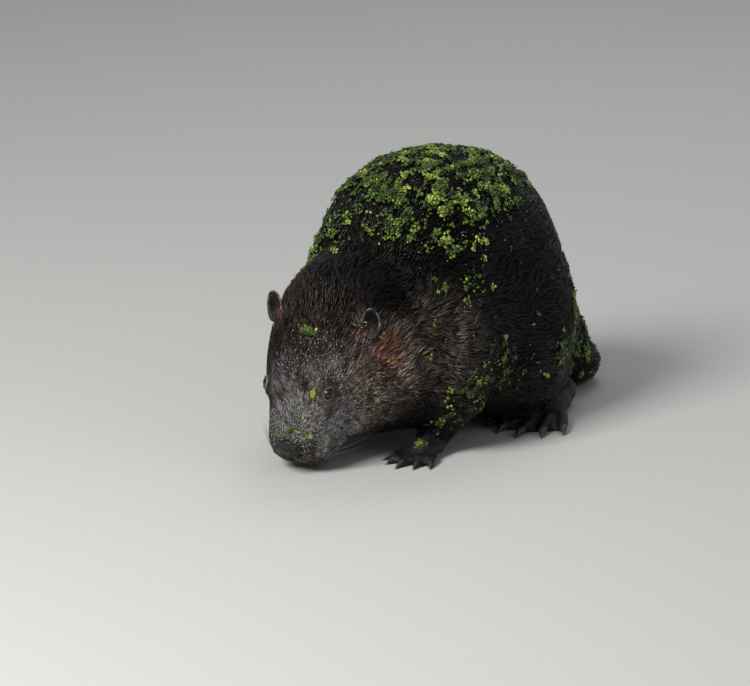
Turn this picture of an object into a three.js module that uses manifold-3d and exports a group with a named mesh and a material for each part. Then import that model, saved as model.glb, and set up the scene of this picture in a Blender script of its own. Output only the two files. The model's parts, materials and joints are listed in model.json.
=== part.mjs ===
// A still, life-size North American beaver, crouched on all fours with its muzzle just off the ground.
//
// Millimetres, +Z up. The animal faces -Y and its left side is +X. The back is arched high, the head hangs
// forward and down, the hind feet lie flat beside the belly, the hands rest under the chin, and the broad
// scaly tail lies on the floor behind, swung to the right. The outside of every solid is the outside of the
// wet coat. Flesh is one smooth form made of named masses, and thin cuts part it where an anatomist would.

import * as THREE from 'three';
import { mergeVertices } from 'three/addons/utils/BufferGeometryUtils.js';
import Module from 'manifold-3d';

const wasm = await Module();
wasm.setup();

// ---------------------------------------------------------------- driving dimensions

const BACK_HEIGHT = 258; // floor to the top of the arched back
const TRUNK_WIDTH = 220; // across the haunches
const TRUNK_LENGTH = 278; // front of the chest to the end of the rump
const TRUNK_MIDDLE = 56; // how far the middle of the trunk lies behind the middle of the shoulders
const HEAD_LENGTH = 130; // line of the ears to the tip of the nose
const HEAD_PITCH = 50; // degrees that the head hangs below the horizontal
const HEAD_ROLL = 8; // degrees that the left cheek is lower than the right one
const HEAD_TURN = 3; // degrees that the nose points to its left
const HEAD_PIVOT = [-7, -115, 143]; // middle of the line of the ears
const EYE_RADIUS = 6.5;
const EAR_HEIGHT = 26;
const EAR_WIDTH = 19;
const WRIST_HEIGHT = 17;
const HAND_PLACE = { x: 62, y: -54, turn: 0 }; // middle of the palm, turned outwards in degrees
const FOOT_PLACE = { x: 78, y: 122, turn: 13 }; // middle of the sole
const ELBOW = { x: 80, y: -16, z: 52 };
const PADDLE_LENGTH = 308; // the scaly blade of the tail
const PADDLE_WIDTH = 116;
const PADDLE_THICKNESS = 17;

const SEAM = 0.4; // gap between neighbouring solids
const FLOOR_SINK = 1.5; // depth that soles press flat against the floor
const SIDES = { left: 1, right: -1 };

// Colours of the wet coat and the bare parts.
const COLOURS = {
  fur: 0x2e211a,
  wetFace: 0x3a2d26,
  skin: 0x26221f,
  horn: 0x17130f,
  eye: 0x0c0705,
  tail: 0x2b2723,
};

const v = (x, y, z) => new THREE.Vector3(x, y, z);
const rad = THREE.MathUtils.degToRad;
const lerp = THREE.MathUtils.lerp;

// ---------------------------------------------------------------- forms
// A form is a function of a point that is negative inside, zero on the surface and positive outside.

/** An egg-like mass, pitched about X and turned about Z. A `square` over 2 makes it boxier. */
function mass({ at, radii, pitch = 0, turn = 0, square = 2 }) {
  const centre = v(...at);
  const radius = v(...radii);
  const unturn = new THREE.Quaternion()
    .setFromEuler(new THREE.Euler(rad(pitch), 0, rad(turn), 'ZYX'))
    .invert();
  return (point) => {
    const q = point.clone().sub(centre).applyQuaternion(unturn);
    const share = q.clone().divide(radius);
    const k =
      (Math.abs(share.x) ** square + Math.abs(share.y) ** square + Math.abs(share.z) ** square) **
      (1 / square);
    return k < 1e-6 ? -Math.min(...radii) : q.length() * (1 - 1 / k);
  };
}

/** A round limb that tapers from one joint to the next. */
function limb(from, to, startRadius, endRadius) {
  const reach = to.clone().sub(from);
  return (point) => {
    const offset = point.clone().sub(from);
    const share = THREE.MathUtils.clamp(offset.dot(reach) / reach.lengthSq(), 0, 1);
    return offset.addScaledVector(reach, -share).length() - lerp(startRadius, endRadius, share);
  };
}

/** Several forms run together, with fillets about `width` wide where they meet. */
function blend(width, ...forms) {
  return (point) =>
    forms
      .map((form) => form(point))
      .reduce((a, b) => {
        const overlap = Math.max(width - Math.abs(a - b), 0) / width;
        return Math.min(a, b) - (overlap * overlap * width) / 4;
      });
}

/** The same form on both sides of the body. */
const paired = (width, make) => blend(width, make(SIDES.left), make(SIDES.right));

/** A form grown outwards all over. */
const grown = (form, by) => (point) => form(point) - by;

/** A form described in one frame, read in the frame that `frame` places it in. */
function placed(form, frame) {
  const toLocal = frame.clone().invert();
  return (point) => form(point.clone().applyMatrix4(toLocal));
}

// ---------------------------------------------------------------- solids

/** A closed geometry as a solid that can be joined and cut. */
function solidOf(geometry) {
  const bare = geometry.clone();
  for (const name of Object.keys(bare.attributes)) if (name !== 'position') bare.deleteAttribute(name);
  const merged = mergeVertices(bare, 1e-4);
  return new wasm.Manifold(
    new wasm.Mesh({
      numProp: 3,
      vertProperties: new Float32Array(merged.attributes.position.array),
      triVerts: new Uint32Array(merged.index.array),
    }),
  );
}

/** A solid as a geometry again, with flat faces. */
function geometryOf(solid) {
  const { vertProperties, triVerts, numProp } = solid.getMesh();
  const positions = new Float32Array((vertProperties.length / numProp) * 3);
  for (let i = 0; i < positions.length / 3; i++) {
    positions.set(vertProperties.subarray(i * numProp, i * numProp + 3), i * 3);
  }
  const geometry = new THREE.BufferGeometry();
  geometry.setAttribute('position', new THREE.BufferAttribute(positions, 3));
  geometry.setIndex(new THREE.BufferAttribute(new Uint32Array(triVerts), 1));
  return geometry.toNonIndexed();
}

/** The point where a ray from inside a form leaves it. */
function edgeOf(form, from, along) {
  const STRIDE = 1.5;
  const LONGEST = 700;
  const at = (distance) => from.clone().addScaledVector(along, distance);
  let inside = 0;
  let outside = STRIDE;
  while (form(at(outside)) < 0 && outside < LONGEST) {
    inside = outside;
    outside += STRIDE;
  }
  for (let i = 0; i < 14; i++) {
    const middle = (inside + outside) / 2;
    if (form(at(middle)) < 0) inside = middle;
    else outside = middle;
  }
  return at(outside);
}

/**
 * A faceted solid of a form. Spokes leave a curve inside the form, the core, and each ends on the surface:
 * `rings` of them stand square to the core, and a cap of `caps` slanting rings closes each end.
 */
function wrap(form, core, { rings, spokes, caps }) {
  const rows = [];
  const addRow = (share, slant) => {
    const centre = core.getPoint(share);
    const ahead = core.getTangent(share);
    const side = v(0, 0, 1).cross(ahead).normalize();
    const up = ahead.clone().cross(side);
    const row = [];
    for (let i = 0; i < spokes; i++) {
      const round = (i / spokes) * Math.PI * 2;
      const out = side.clone().multiplyScalar(Math.cos(round)).addScaledVector(up, Math.sin(round));
      const spoke = out.multiplyScalar(Math.sin(slant)).addScaledVector(ahead, -Math.cos(slant));
      row.push(edgeOf(form, centre, spoke));
    }
    rows.push(row);
  };
  for (let i = 1; i <= caps; i++) addRow(0, (i / (caps + 1)) * (Math.PI / 2));
  for (let i = 0; i <= rings; i++) addRow(i / rings, Math.PI / 2);
  for (let i = 1; i <= caps; i++) addRow(1, (1 + i / (caps + 1)) * (Math.PI / 2));

  const startPole = edgeOf(form, core.getPoint(0), core.getTangent(0).negate());
  const endPole = edgeOf(form, core.getPoint(1), core.getTangent(1));
  return solidOf(closedRows(rows, startPole, endPole));
}

/** The triangles between rows of points, each row a closed ring, with a pole at either end. */
function closedRows(rows, startPole, endPole) {
  const points = [startPole, ...rows.flat(), endPole];
  const across = rows[0].length;
  const at = (row, i) => 1 + row * across + (i % across);
  const triangles = [];
  for (let i = 0; i < across; i++) {
    triangles.push(0, at(0, i + 1), at(0, i));
    triangles.push(points.length - 1, at(rows.length - 1, i), at(rows.length - 1, i + 1));
    for (let row = 0; row + 1 < rows.length; row++) {
      triangles.push(at(row, i), at(row, i + 1), at(row + 1, i));
      triangles.push(at(row, i + 1), at(row + 1, i + 1), at(row + 1, i));
    }
  }
  return new THREE.BufferGeometry().setFromPoints(points).setIndex(triangles);
}

/** A huge block that fills one side of a plane, the side its normal points to. */
function beyond(point, normal) {
  const FAR = 3000;
  const block = new THREE.BoxGeometry(FAR, FAR, FAR).translate(0, 0, FAR / 2);
  block.applyQuaternion(new THREE.Quaternion().setFromUnitVectors(v(0, 0, 1), normal.clone().normalize()));
  return solidOf(block.translate(point.x, point.y, point.z));
}

/** The part of a solid past a plane, half a seam clear of it. */
function keepBeyond(solid, point, normal) {
  const clear = point.clone().addScaledVector(normal.clone().normalize(), SEAM / 2);
  return solid.intersect(beyond(clear, normal));
}

/** The part of a solid on the near side of a plane, half a seam clear of it. */
const keepBefore = (solid, point, normal) => keepBeyond(solid, point, normal.clone().negate());

/** An egg-shaped block for cutting. */
function egg({ at, radii, pitch = 0, turn = 0, spokes = 28 }, growth = 0) {
  const geometry = new THREE.SphereGeometry(1, spokes, Math.round(spokes * 0.6));
  geometry.scale(radii[0] + growth, radii[1] + growth, radii[2] + growth);
  geometry.rotateX(rad(pitch)).rotateZ(rad(turn));
  return solidOf(geometry.translate(...at));
}

/** Presses a solid flat against the floor. */
const standing = (solid) => solid.translate([0, 0, -FLOOR_SINK]).intersect(beyond(v(0, 0, 0), v(0, 0, 1)));

const line = (from, to) => new THREE.LineCurve3(from, to);

// ---------------------------------------------------------------- flesh
// The floor is z = 0, and the origin lies on it between the shoulders.

const HALF_WIDTH = TRUNK_WIDTH / 2;
const HALF_LENGTH = TRUNK_LENGTH / 2;
const ARCH = 112; // radius of the dome of the back

/** The masses of the trunk, from chest to rump, without legs. */
const TRUNK_MASSES = {
  dome: {
    at: [-3, TRUNK_MIDDLE - 1, BACK_HEIGHT - ARCH],
    radii: [HALF_WIDTH - 17, 0.86 * HALF_LENGTH, ARCH],
    square: 2.5,
  },
  shoulders: {
    at: [3, TRUNK_MIDDLE - 62, 104],
    radii: [HALF_WIDTH - 24, 0.52 * HALF_LENGTH, 88],
    square: 2.2,
  },
  belly: { at: [0, TRUNK_MIDDLE + 6, 88], radii: [HALF_WIDTH - 12, 0.88 * HALF_LENGTH, 68], square: 2.2 },
  rump: { at: [0, TRUNK_MIDDLE + 70, 114], radii: [HALF_WIDTH - 24, 0.47 * HALF_LENGTH, 92] },
  breast: { at: [0, TRUNK_MIDDLE - 112, 68], radii: [HALF_WIDTH - 40, 42, 46] },
};
const trunkForm = blend(40, ...Object.values(TRUNK_MASSES).map(mass));

/** The thick neck, which joins shoulders and head with no waist. */
const neckForm = limb(v(4, -10, 136), v(-4, -80, 132), 70, 57);

/** The masses of the legs on one side, which swell the trunk. */
const legMasses = (side) => ({
  haunch: { at: [side * 63, 88, 80], radii: [38, 66, 68], pitch: -12 },
  shank: { at: [side * 62, 112, 40], radii: [34, 62, 34] },
  shoulder: { at: [side * 70, -26, 82], radii: [34, 44, 56], pitch: 14 },
});
const legsForm = paired(24, (side) => blend(24, ...Object.values(legMasses(side)).map(mass)));

/** The furred root of the tail, from the rump down to the floor. */
const TAIL_ROOT = v(6, 164, 84);
const TAIL_BEND = v(8, 212, 48);
const TAIL_BROAD = [14, 238, 20]; // where the root flattens and widens into the blade
const tailBaseForm = blend(
  24,
  limb(TAIL_ROOT, TAIL_BEND, 66, 50),
  mass({ at: TAIL_BROAD, radii: [46, 46, 24], turn: 30 }),
);

// The head in its own frame: origin between the ears, nose towards -Y, crown towards +Z.
const HEAD_MASSES = {
  cranium: { at: [0, -24, -30], radii: [49, 56, 42], square: 2.4 },
  face: { at: [0, -62, -34], radii: [33, 56, 34], square: 2.3 },
  snout: { at: [0, 27 - HEAD_LENGTH, -42], radii: [23.5, 26, 22], square: 2.5 },
  chin: { at: [0, 46 - HEAD_LENGTH, -77], radii: [25, 32, 18] },
  throat: { at: [0, -42, -78], radii: [44, 46, 36] },
};
const headForm = blend(
  14,
  ...Object.values(HEAD_MASSES).map(mass),
  paired(8, (side) => mass({ at: [side * 25, -46, -60], radii: [31, 44, 40], turn: side * -8 })), // cheek
  paired(6, (side) => mass({ at: [side * 14, 26 - HEAD_LENGTH, -57], radii: [17, 23, 22] })), // whisker pad
  paired(6, (side) => mass({ at: [side * 21, -70, -8], radii: [10, 15, 9] })), // brow
);

const headFrame = new THREE.Matrix4().compose(
  v(...HEAD_PIVOT),
  new THREE.Quaternion().setFromEuler(new THREE.Euler(rad(HEAD_PITCH), rad(HEAD_ROLL), rad(HEAD_TURN))),
  v(1, 1, 1),
);

const foreForm = blend(26, trunkForm, neckForm, placed(headForm, headFrame));
const fleshForm = blend(26, foreForm, legsForm, tailBaseForm);

// Seams: a point on each and the way across it.
const NECK_TO_HEAD = { at: v(0, -72, 125), across: v(0, -0.99, -0.13) };
const TRUNK_TO_NECK = { at: v(0, -34, 150), across: v(0, -0.97, 0.24) };
const TRUNK_TO_TAIL = { at: v(0, 182, 60), across: v(0, 0.87, -0.5) };
const TAIL_TO_PADDLE = { at: v(8, 246, 20), across: v(-0.58, 0.81, 0) };
const THIGH_TO_SHANK = { at: v(0, 104, 48), across: v(0, 0.12, -1) };

const thighBlock = (side) => ({ at: [side * 90, 88, 72], radii: [50, 78, 84], pitch: -8, spokes: 16 });
const armBlock = (side) => ({ at: [side * 92, -26, 78], radii: [44, 42, 64], pitch: 10, spokes: 14 });

// ---------------------------------------------------------------- body

const barrelCore = line(v(0, -10, 122), v(0, 128, 108));
const barrelFacets = { rings: 8, spokes: 26, caps: 4 };
const barrel = wrap(fleshForm, barrelCore, barrelFacets);
const barrelWithSeam = wrap(grown(fleshForm, SEAM), barrelCore, barrelFacets);

/** The barrel between neck and tail, with its limbs still on it. */
function torso() {
  let body = keepBefore(barrel, NECK_TO_HEAD.at, NECK_TO_HEAD.across);
  body = keepBefore(body, TRUNK_TO_NECK.at, TRUNK_TO_NECK.across);
  return keepBefore(body, TRUNK_TO_TAIL.at, TRUNK_TO_TAIL.across);
}

/** The trunk: the torso less haunches and shoulders. */
function trunk() {
  let body = torso();
  for (const side of Object.values(SIDES)) {
    body = body.subtract(egg(thighBlock(side), SEAM)).subtract(egg(armBlock(side), SEAM));
  }
  return body;
}

/** The neck, between the shoulders and the back of the head. */
function neck() {
  const core = line(v(0, -40, 140), v(-2, -76, 138));
  const whole = wrap(foreForm, core, { rings: 4, spokes: 26, caps: 3 });
  const front = keepBefore(whole, NECK_TO_HEAD.at, NECK_TO_HEAD.across);
  return keepBeyond(front, TRUNK_TO_NECK.at, TRUNK_TO_NECK.across);
}

/** Haunch and shank on one side, cut from the torso. */
function hindLeg(side) {
  const leg = torso().intersect(egg(thighBlock(side)));
  return {
    thigh: keepBefore(leg, THIGH_TO_SHANK.at, THIGH_TO_SHANK.across),
    shank: keepBeyond(leg, THIGH_TO_SHANK.at, THIGH_TO_SHANK.across),
  };
}

/** The upper arm on one side, cut from the torso. */
const upperArm = (side) => torso().intersect(egg(armBlock(side))).subtract(egg(thighBlock(side), SEAM));

const tailCore = new THREE.QuadraticBezierCurve3(v(0, 170, 70), v(0, 206, 44), v(7, 238, 18));
const tailFacets = { rings: 6, spokes: 16, caps: 3 };

// ---------------------------------------------------------------- hands and feet

/** One digit from its root to the tip of its claw, humped at the knuckle and hooked at the end. */
function digit({ root, heading, reach, thick, clawLength }) {
  const along = v(Math.sin(rad(heading)), -Math.cos(rad(heading)), 0);
  const at = (distance, height) => root.clone().addScaledVector(along, distance).setZ(height);
  const knuckle = at(reach * 0.45, thick * 1.35);
  const nail = at(reach, thick * 0.8);
  const hook = at(reach + clawLength * 0.6, thick * 0.75);
  const tip = at(reach + clawLength, FLOOR_SINK + 1);
  const form = blend(
    2,
    limb(root, knuckle, thick, thick * 0.95),
    limb(knuckle, nail, thick * 0.95, thick * 0.72),
    limb(nail, hook, thick * 0.6, thick * 0.42),
    limb(hook, tip, thick * 0.42, 0.8),
  );
  const core = new THREE.CurvePath();
  core.add(line(root, knuckle));
  core.add(line(knuckle, nail));
  core.add(line(nail, tip));
  return wrap(form, core, { rings: 3, spokes: 6, caps: 0 });
}

/** Five digits spread about a root, from the inner to the outer. */
function digits({ root, spread, reaches, thick, clawLength, side }) {
  const fan = reaches.map((reach, i) => {
    const share = i / (reaches.length - 1) - 0.5;
    const heading = side * spread * share;
    const start = v(side * root.width * share, root.y + Math.abs(share) * root.sweep, root.z);
    return digit({ root: start, heading, reach, thick, clawLength });
  });
  return fan.reduce((all, one) => all.add(one));
}

/** The small dark hand, flat on the floor, in a frame whose origin is under the palm. */
function hand(side) {
  const palm = wrap(
    blend(
      8,
      mass({ at: [0, 4, 11], radii: [17, 22, 9.5] }),
      limb(v(0, 10, 12), v(0, 26, WRIST_HEIGHT), 10, 11),
    ),
    line(v(0, -6, 11), v(0, 18, 13)),
    { rings: 1, spokes: 8, caps: 1 },
  );
  const fingers = digits({
    root: { y: -8, z: 7, width: 24, sweep: 8 },
    spread: 62,
    reaches: [16, 23, 26, 23, 18],
    thick: 5.4,
    clawLength: 11,
    side,
  });
  return standing(palm.add(fingers));
}

/** The skin stretched between the hind toes: a thin fan with a scalloped edge. */
function webbing({ root, spread, reaches, side }) {
  const edge = (share, scale) => {
    const i = Math.round(share * (reaches.length - 1));
    const angle = rad(side * spread * (share - 0.5));
    const reach = reaches[i] * scale;
    const startX = side * root.width * (share - 0.5);
    return [startX + Math.sin(angle) * reach, root.y - Math.cos(angle) * reach];
  };
  const outline = new THREE.Shape();
  outline.moveTo(-side * root.width * 0.55, root.y + 12);
  outline.lineTo(...edge(0, 0.86));
  for (let i = 1; i < reaches.length; i++) {
    const between = edge((i - 0.5) / (reaches.length - 1), 0.66);
    outline.quadraticCurveTo(...between, ...edge(i / (reaches.length - 1), 0.86));
  }
  outline.lineTo(side * root.width * 0.55, root.y + 12);
  outline.closePath();
  const sheet = new THREE.ExtrudeGeometry(outline, { depth: 3.2, bevelEnabled: false, curveSegments: 2 });
  return solidOf(sheet.translate(0, 0, FLOOR_SINK));
}

/** The long webbed hind foot, flat on the floor, in a frame whose origin is under the middle of the sole. */
function foot(side) {
  const sole = wrap(
    blend(14, limb(v(0, 48, 16), v(0, 6, 13), 15, 13), mass({ at: [0, 4, 10], radii: [23, 26, 10] })),
    line(v(0, 46, 15), v(0, 0, 11)),
    { rings: 3, spokes: 8, caps: 1 },
  );
  const toes = {
    root: { y: -6, z: 8, width: 34, sweep: 8 },
    spread: 46,
    reaches: [46, 56, 60, 56, 44],
    side,
  };
  return standing(sole.add(digits({ ...toes, thick: 6.6, clawLength: 10 })).add(webbing(toes)));
}

/** Where a hand or foot stands: under its place on the floor, turned outwards. */
function stance(side, { x, y, turn }) {
  const turned = new THREE.Quaternion().setFromAxisAngle(v(0, 0, 1), side * rad(turn));
  return new THREE.Matrix4().compose(v(side * x, y, 0), turned, v(1, 1, 1));
}

/** Elbow and wrist on one side. */
const armJoints = (side) => ({
  elbow: v(side * ELBOW.x, ELBOW.y, ELBOW.z),
  wrist: v(0, 22, WRIST_HEIGHT).applyMatrix4(stance(side, HAND_PLACE)),
});

/** The forearm, from the elbow under the chest fur to the wrist. */
function forearm(side) {
  const { elbow, wrist } = armJoints(side);
  const whole = wrap(limb(elbow, wrist, 22, 12.5), line(elbow, wrist), { rings: 2, spokes: 10, caps: 2 });
  return keepBefore(whole, wrist, wrist.clone().sub(elbow)).subtract(barrelWithSeam);
}

/** A hand in place, cut square at the wrist. */
function placedHand(side) {
  const { elbow, wrist } = armJoints(side);
  const whole = hand(side).transform(stance(side, HAND_PLACE).elements);
  return keepBeyond(whole, wrist, wrist.clone().sub(elbow)).subtract(barrelWithSeam);
}

/** A foot in place, cut clear of the shank that rests on its heel and of the root of the tail. */
function placedFoot(side) {
  const standingFoot = foot(side).transform(stance(side, FOOT_PLACE).elements);
  return standingFoot.subtract(barrelWithSeam).subtract(wrap(grown(fleshForm, SEAM), tailCore, tailFacets));
}

// ---------------------------------------------------------------- head
// All of these are in the head's own frame.

const fleshFromHead = placed(foreForm, headFrame.clone().invert());
const headCore = line(v(0, -2, -34), v(0, 36 - HEAD_LENGTH, -42));
const headFacets = { rings: 12, spokes: 26, caps: 4 };
const EYE_LEVEL = v(0, -75, -11); // on the middle plane, level with the eyes
const EYE_DEPTH = 5; // middle of the eyeball under the surface of the face
const EAR_LEVEL = v(0, -13, -7);
const EAR_ROOT_DEPTH = 2;

/** A point a given depth under the surface of the head, straight out to one side of its middle plane. */
const sidePoint = (side, level, depth) =>
  edgeOf(fleshFromHead, level, v(side, 0, 0)).add(v(-side * depth, 0, 0));

const NOSE = { at: [0, 7 - HEAD_LENGTH, -32], radii: [14.5, 9, 10.5], pitch: 16, spokes: 12 };
const MOUTH = { at: v(0, -92, -63), across: v(0, -0.16, -1) };
const JAW_BACK = { at: v(0, -46, -66), across: v(0, -1, 0.15) };

/** The whole head to its seam with the neck, before jaw, nose and eyes are cut from it. */
function wholeHead() {
  const toHead = headFrame.clone().invert();
  const seam = NECK_TO_HEAD.at.clone().applyMatrix4(toHead);
  const across = NECK_TO_HEAD.across.clone().transformDirection(toHead);
  return keepBeyond(wrap(fleshFromHead, headCore, headFacets), seam, across);
}

/** The lower jaw: the part of the head below the mouth and ahead of the jaw's hinge. */
function jaw() {
  const below = keepBeyond(wholeHead(), MOUTH.at, MOUTH.across);
  return keepBeyond(below, JAW_BACK.at, JAW_BACK.across);
}

/** The head above the mouth, with a socket for each eye and for the nose pad. */
function skull() {
  const jawRoom = beyond(MOUTH.at.clone().addScaledVector(MOUTH.across, -SEAM / 2), MOUTH.across)
    .intersect(beyond(JAW_BACK.at.clone().addScaledVector(JAW_BACK.across, -SEAM / 2), JAW_BACK.across));
  let head = wholeHead().subtract(jawRoom).subtract(egg(NOSE, SEAM));
  for (const side of Object.values(SIDES)) head = head.subtract(eyeball(side, SEAM));
  return head;
}

/** An eyeball, grown when it is used to cut its socket. */
function eyeball(side, growth = 0) {
  const centre = sidePoint(side, EYE_LEVEL, EYE_DEPTH).toArray();
  return egg({ at: centre, radii: Array(3).fill(EYE_RADIUS), spokes: 10 }, growth);
}

/** The nose pad, hollowed by two nostrils. */
function nosePad() {
  let pad = egg(NOSE);
  for (const side of Object.values(SIDES)) {
    const at = [side * 7.5, -3 - HEAD_LENGTH, -33];
    pad = pad.subtract(egg({ at, radii: [2.2, 4, 3], turn: side * 30, spokes: 5 }));
  }
  return pad;
}

/** A small round ear: a cup open to the front and side, rooted in the fur of the head. */
function ear(side) {
  const half = EAR_HEIGHT / 2;
  const wall = 2.3;
  const outer = { at: [0, 0, half - 3], radii: [EAR_WIDTH / 2, 7, half + 3], spokes: 12 };
  const hollow = { at: [0, -6, half + 1], radii: [EAR_WIDTH / 2 - wall, 9, half - 1], spokes: 10 };
  const stem = v(side * 0.2, 0.7, 0.68).normalize();
  const facing = v(side * 0.25, -0.6, 0.76);
  const across = facing.clone().cross(stem).normalize().negate();
  const frame = new THREE.Matrix4()
    .makeBasis(across, stem.clone().cross(across), stem)
    .setPosition(sidePoint(side, EAR_LEVEL, EAR_ROOT_DEPTH));
  const cup = egg(outer).subtract(egg(hollow)).transform(frame.elements);
  return cup.subtract(wrap(grown(fleshFromHead, SEAM), headCore, headFacets));
}

// ---------------------------------------------------------------- tail

/** The furred root of the tail, between the rump and the scaly blade. */
function tailBase() {
  const whole = wrap(fleshForm, tailCore, tailFacets);
  const root = keepBeyond(whole, TRUNK_TO_TAIL.at, TRUNK_TO_TAIL.across);
  return standing(keepBefore(root, TAIL_TO_PADDLE.at, TAIL_TO_PADDLE.across).translate([0, 0, FLOOR_SINK]));
}

/** The middle line of the blade on the floor, swinging to the right behind the animal. */
function paddleLine() {
  const start = TAIL_TO_PADDLE.at.clone().add(v(9, -16, 0)).setZ(0);
  const bend = start.clone().add(v(-0.72, 0.694, 0).multiplyScalar(PADDLE_LENGTH / 2));
  const end = bend.clone().add(v(-0.58, 0.815, 0).multiplyScalar(PADDLE_LENGTH / 2));
  return new THREE.QuadraticBezierCurve3(start, bend, end);
}

/** How wide the blade is at a share of its length: narrow root, parallel sides, round end. */
function bladeWidth(share) {
  const BROADEST = 0.45;
  const fromBroadest = share < BROADEST ? (BROADEST - share) / BROADEST : (share - BROADEST) / (1 - BROADEST);
  const rootward = 1 - 0.3 * fromBroadest ** 2;
  const tipward = Math.sqrt(Math.max(1 - fromBroadest ** 3, 0));
  return share < BROADEST ? rootward : tipward;
}

/** The blade of the tail: an oval paddle, thickest along its middle, flat underneath. */
function tailPaddle() {
  const middle = paddleLine();
  const STATIONS = 11;
  const SPOKES = 12;
  const rows = [];
  for (let i = 0; i < STATIONS; i++) {
    const share = Math.sin((Math.PI / 2) * (i / STATIONS)) ** 0.9;
    const half = (PADDLE_WIDTH / 2) * bladeWidth(share);
    const thick = lerp(PADDLE_THICKNESS * 1.5, PADDLE_THICKNESS * 0.5, share);
    const centre = middle.getPoint(share);
    const side = v(0, 0, 1).cross(middle.getTangent(share)).normalize();
    const row = [];
    for (let k = 0; k < SPOKES; k++) {
      const round = (k / SPOKES) * Math.PI * 2;
      const across = Math.cos(round) * half;
      const height = thick / 2 + (Math.sin(round) * thick) / 2;
      row.push(centre.clone().addScaledVector(side, across).setZ(height));
    }
    rows.push(row);
  }
  const blade = solidOf(closedRows(rows, middle.getPoint(0).setZ(9), middle.getPoint(1).setZ(5)));
  return standing(keepBeyond(blade, TAIL_TO_PADDLE.at, TAIL_TO_PADDLE.across));
}

// ---------------------------------------------------------------- the beaver

const material = (color, roughness) => new THREE.MeshStandardMaterial({ color, roughness, metalness: 0 });
const FINISHES = {
  fur: material(COLOURS.fur, 0.55),
  face: material(COLOURS.wetFace, 0.55),
  skin: material(COLOURS.skin, 0.45),
  nose: material(COLOURS.horn, 0.25),
  eye: material(COLOURS.eye, 0.05),
  tail: material(COLOURS.tail, 0.45),
};

/** A named mesh of a solid. */
function node(name, solid, finish) {
  const mesh = new THREE.Mesh(geometryOf(solid), finish);
  mesh.name = name;
  return mesh;
}

const head = new THREE.Group();
headFrame.decompose(head.position, head.quaternion, head.scale);
head.add(node('head', skull(), FINISHES.face));
head.add(node('jaw', jaw(), FINISHES.face));
head.add(node('nose', nosePad(), FINISHES.nose));

const body = new THREE.Group();
body.add(node('trunk', trunk(), FINISHES.fur));
body.add(node('neck', neck(), FINISHES.fur));
body.add(node('tail_base', tailBase(), FINISHES.fur));
body.add(node('tail_paddle', tailPaddle(), FINISHES.tail));

for (const [name, side] of Object.entries(SIDES)) {
  head.add(node(`eye_${name}`, eyeball(side), FINISHES.eye));
  head.add(node(`ear_${name}`, ear(side), FINISHES.skin));
  const { thigh, shank } = hindLeg(side);
  body.add(node(`thigh_${name}`, thigh, FINISHES.fur));
  body.add(node(`shank_${name}`, shank, FINISHES.fur));
  body.add(node(`foot_${name}`, placedFoot(side), FINISHES.skin));
  body.add(node(`upper_arm_${name}`, upperArm(side), FINISHES.fur));
  body.add(node(`forearm_${name}`, forearm(side), FINISHES.fur));
  body.add(node(`hand_${name}`, placedHand(side), FINISHES.skin));
}

const beaver = new THREE.Group();
beaver.add(body, head);

// The part's origin is the middle of its footprint, on the floor.
const footprint = new THREE.Box3().setFromObject(beaver, true);
const middle = footprint.getCenter(v(0, 0, 0));
beaver.position.set(-middle.x, -middle.y, 0);

export default beaver;
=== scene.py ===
"""A still, life-size beaver, crouched on all fours, soaked and sprinkled with duckweed.

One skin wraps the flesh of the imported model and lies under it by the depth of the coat. Tufts of fur root in
that skin and end at the model's own surface. Eyes, nose, claws, whiskers, scales, duckweed and water drops
are pieces of their own. Sizes are millimetres in two frames, BODY and HEAD, and become metres when placed.
"""

import json
import logging
import math
import sys
from collections.abc import Callable
from dataclasses import dataclass, field
from enum import Enum
from typing import ClassVar

import bpy
import numpy as np
from mathutils import Matrix, Vector
from mathutils.bvhtree import BVHTree
from mathutils.kdtree import KDTree

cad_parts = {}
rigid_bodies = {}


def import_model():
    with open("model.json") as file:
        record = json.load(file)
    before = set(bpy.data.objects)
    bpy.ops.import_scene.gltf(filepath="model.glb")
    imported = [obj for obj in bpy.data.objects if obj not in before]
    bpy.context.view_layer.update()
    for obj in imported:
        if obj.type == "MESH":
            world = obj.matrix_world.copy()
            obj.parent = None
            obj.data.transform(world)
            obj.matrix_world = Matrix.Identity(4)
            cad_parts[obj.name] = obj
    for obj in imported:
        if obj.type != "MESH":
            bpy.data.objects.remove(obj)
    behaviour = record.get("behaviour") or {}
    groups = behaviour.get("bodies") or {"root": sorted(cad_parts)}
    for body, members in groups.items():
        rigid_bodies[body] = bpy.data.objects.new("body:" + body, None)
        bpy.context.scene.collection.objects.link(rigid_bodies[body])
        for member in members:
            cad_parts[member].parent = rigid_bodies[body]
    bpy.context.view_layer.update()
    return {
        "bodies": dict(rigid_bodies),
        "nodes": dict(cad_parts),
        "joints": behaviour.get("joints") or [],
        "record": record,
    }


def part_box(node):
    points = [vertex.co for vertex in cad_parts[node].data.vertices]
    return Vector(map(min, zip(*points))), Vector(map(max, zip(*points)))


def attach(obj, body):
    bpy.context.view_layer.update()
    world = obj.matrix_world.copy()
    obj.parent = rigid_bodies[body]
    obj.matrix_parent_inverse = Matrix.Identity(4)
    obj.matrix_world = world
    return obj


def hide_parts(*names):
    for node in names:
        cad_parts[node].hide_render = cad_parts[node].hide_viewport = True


Array = np.ndarray
Chance = np.random.Generator
Piece = bpy.types.Object
Triple = tuple[float, float, float]
# The points of a shape, in rows of metres, and its triangles, in rows of three point numbers.
Shape = tuple[Array, Array]

LOG = logging.getLogger("beaver")
MM = 0.001
SIDES = {"left": 1, "right": -1}


# ---- places


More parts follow.
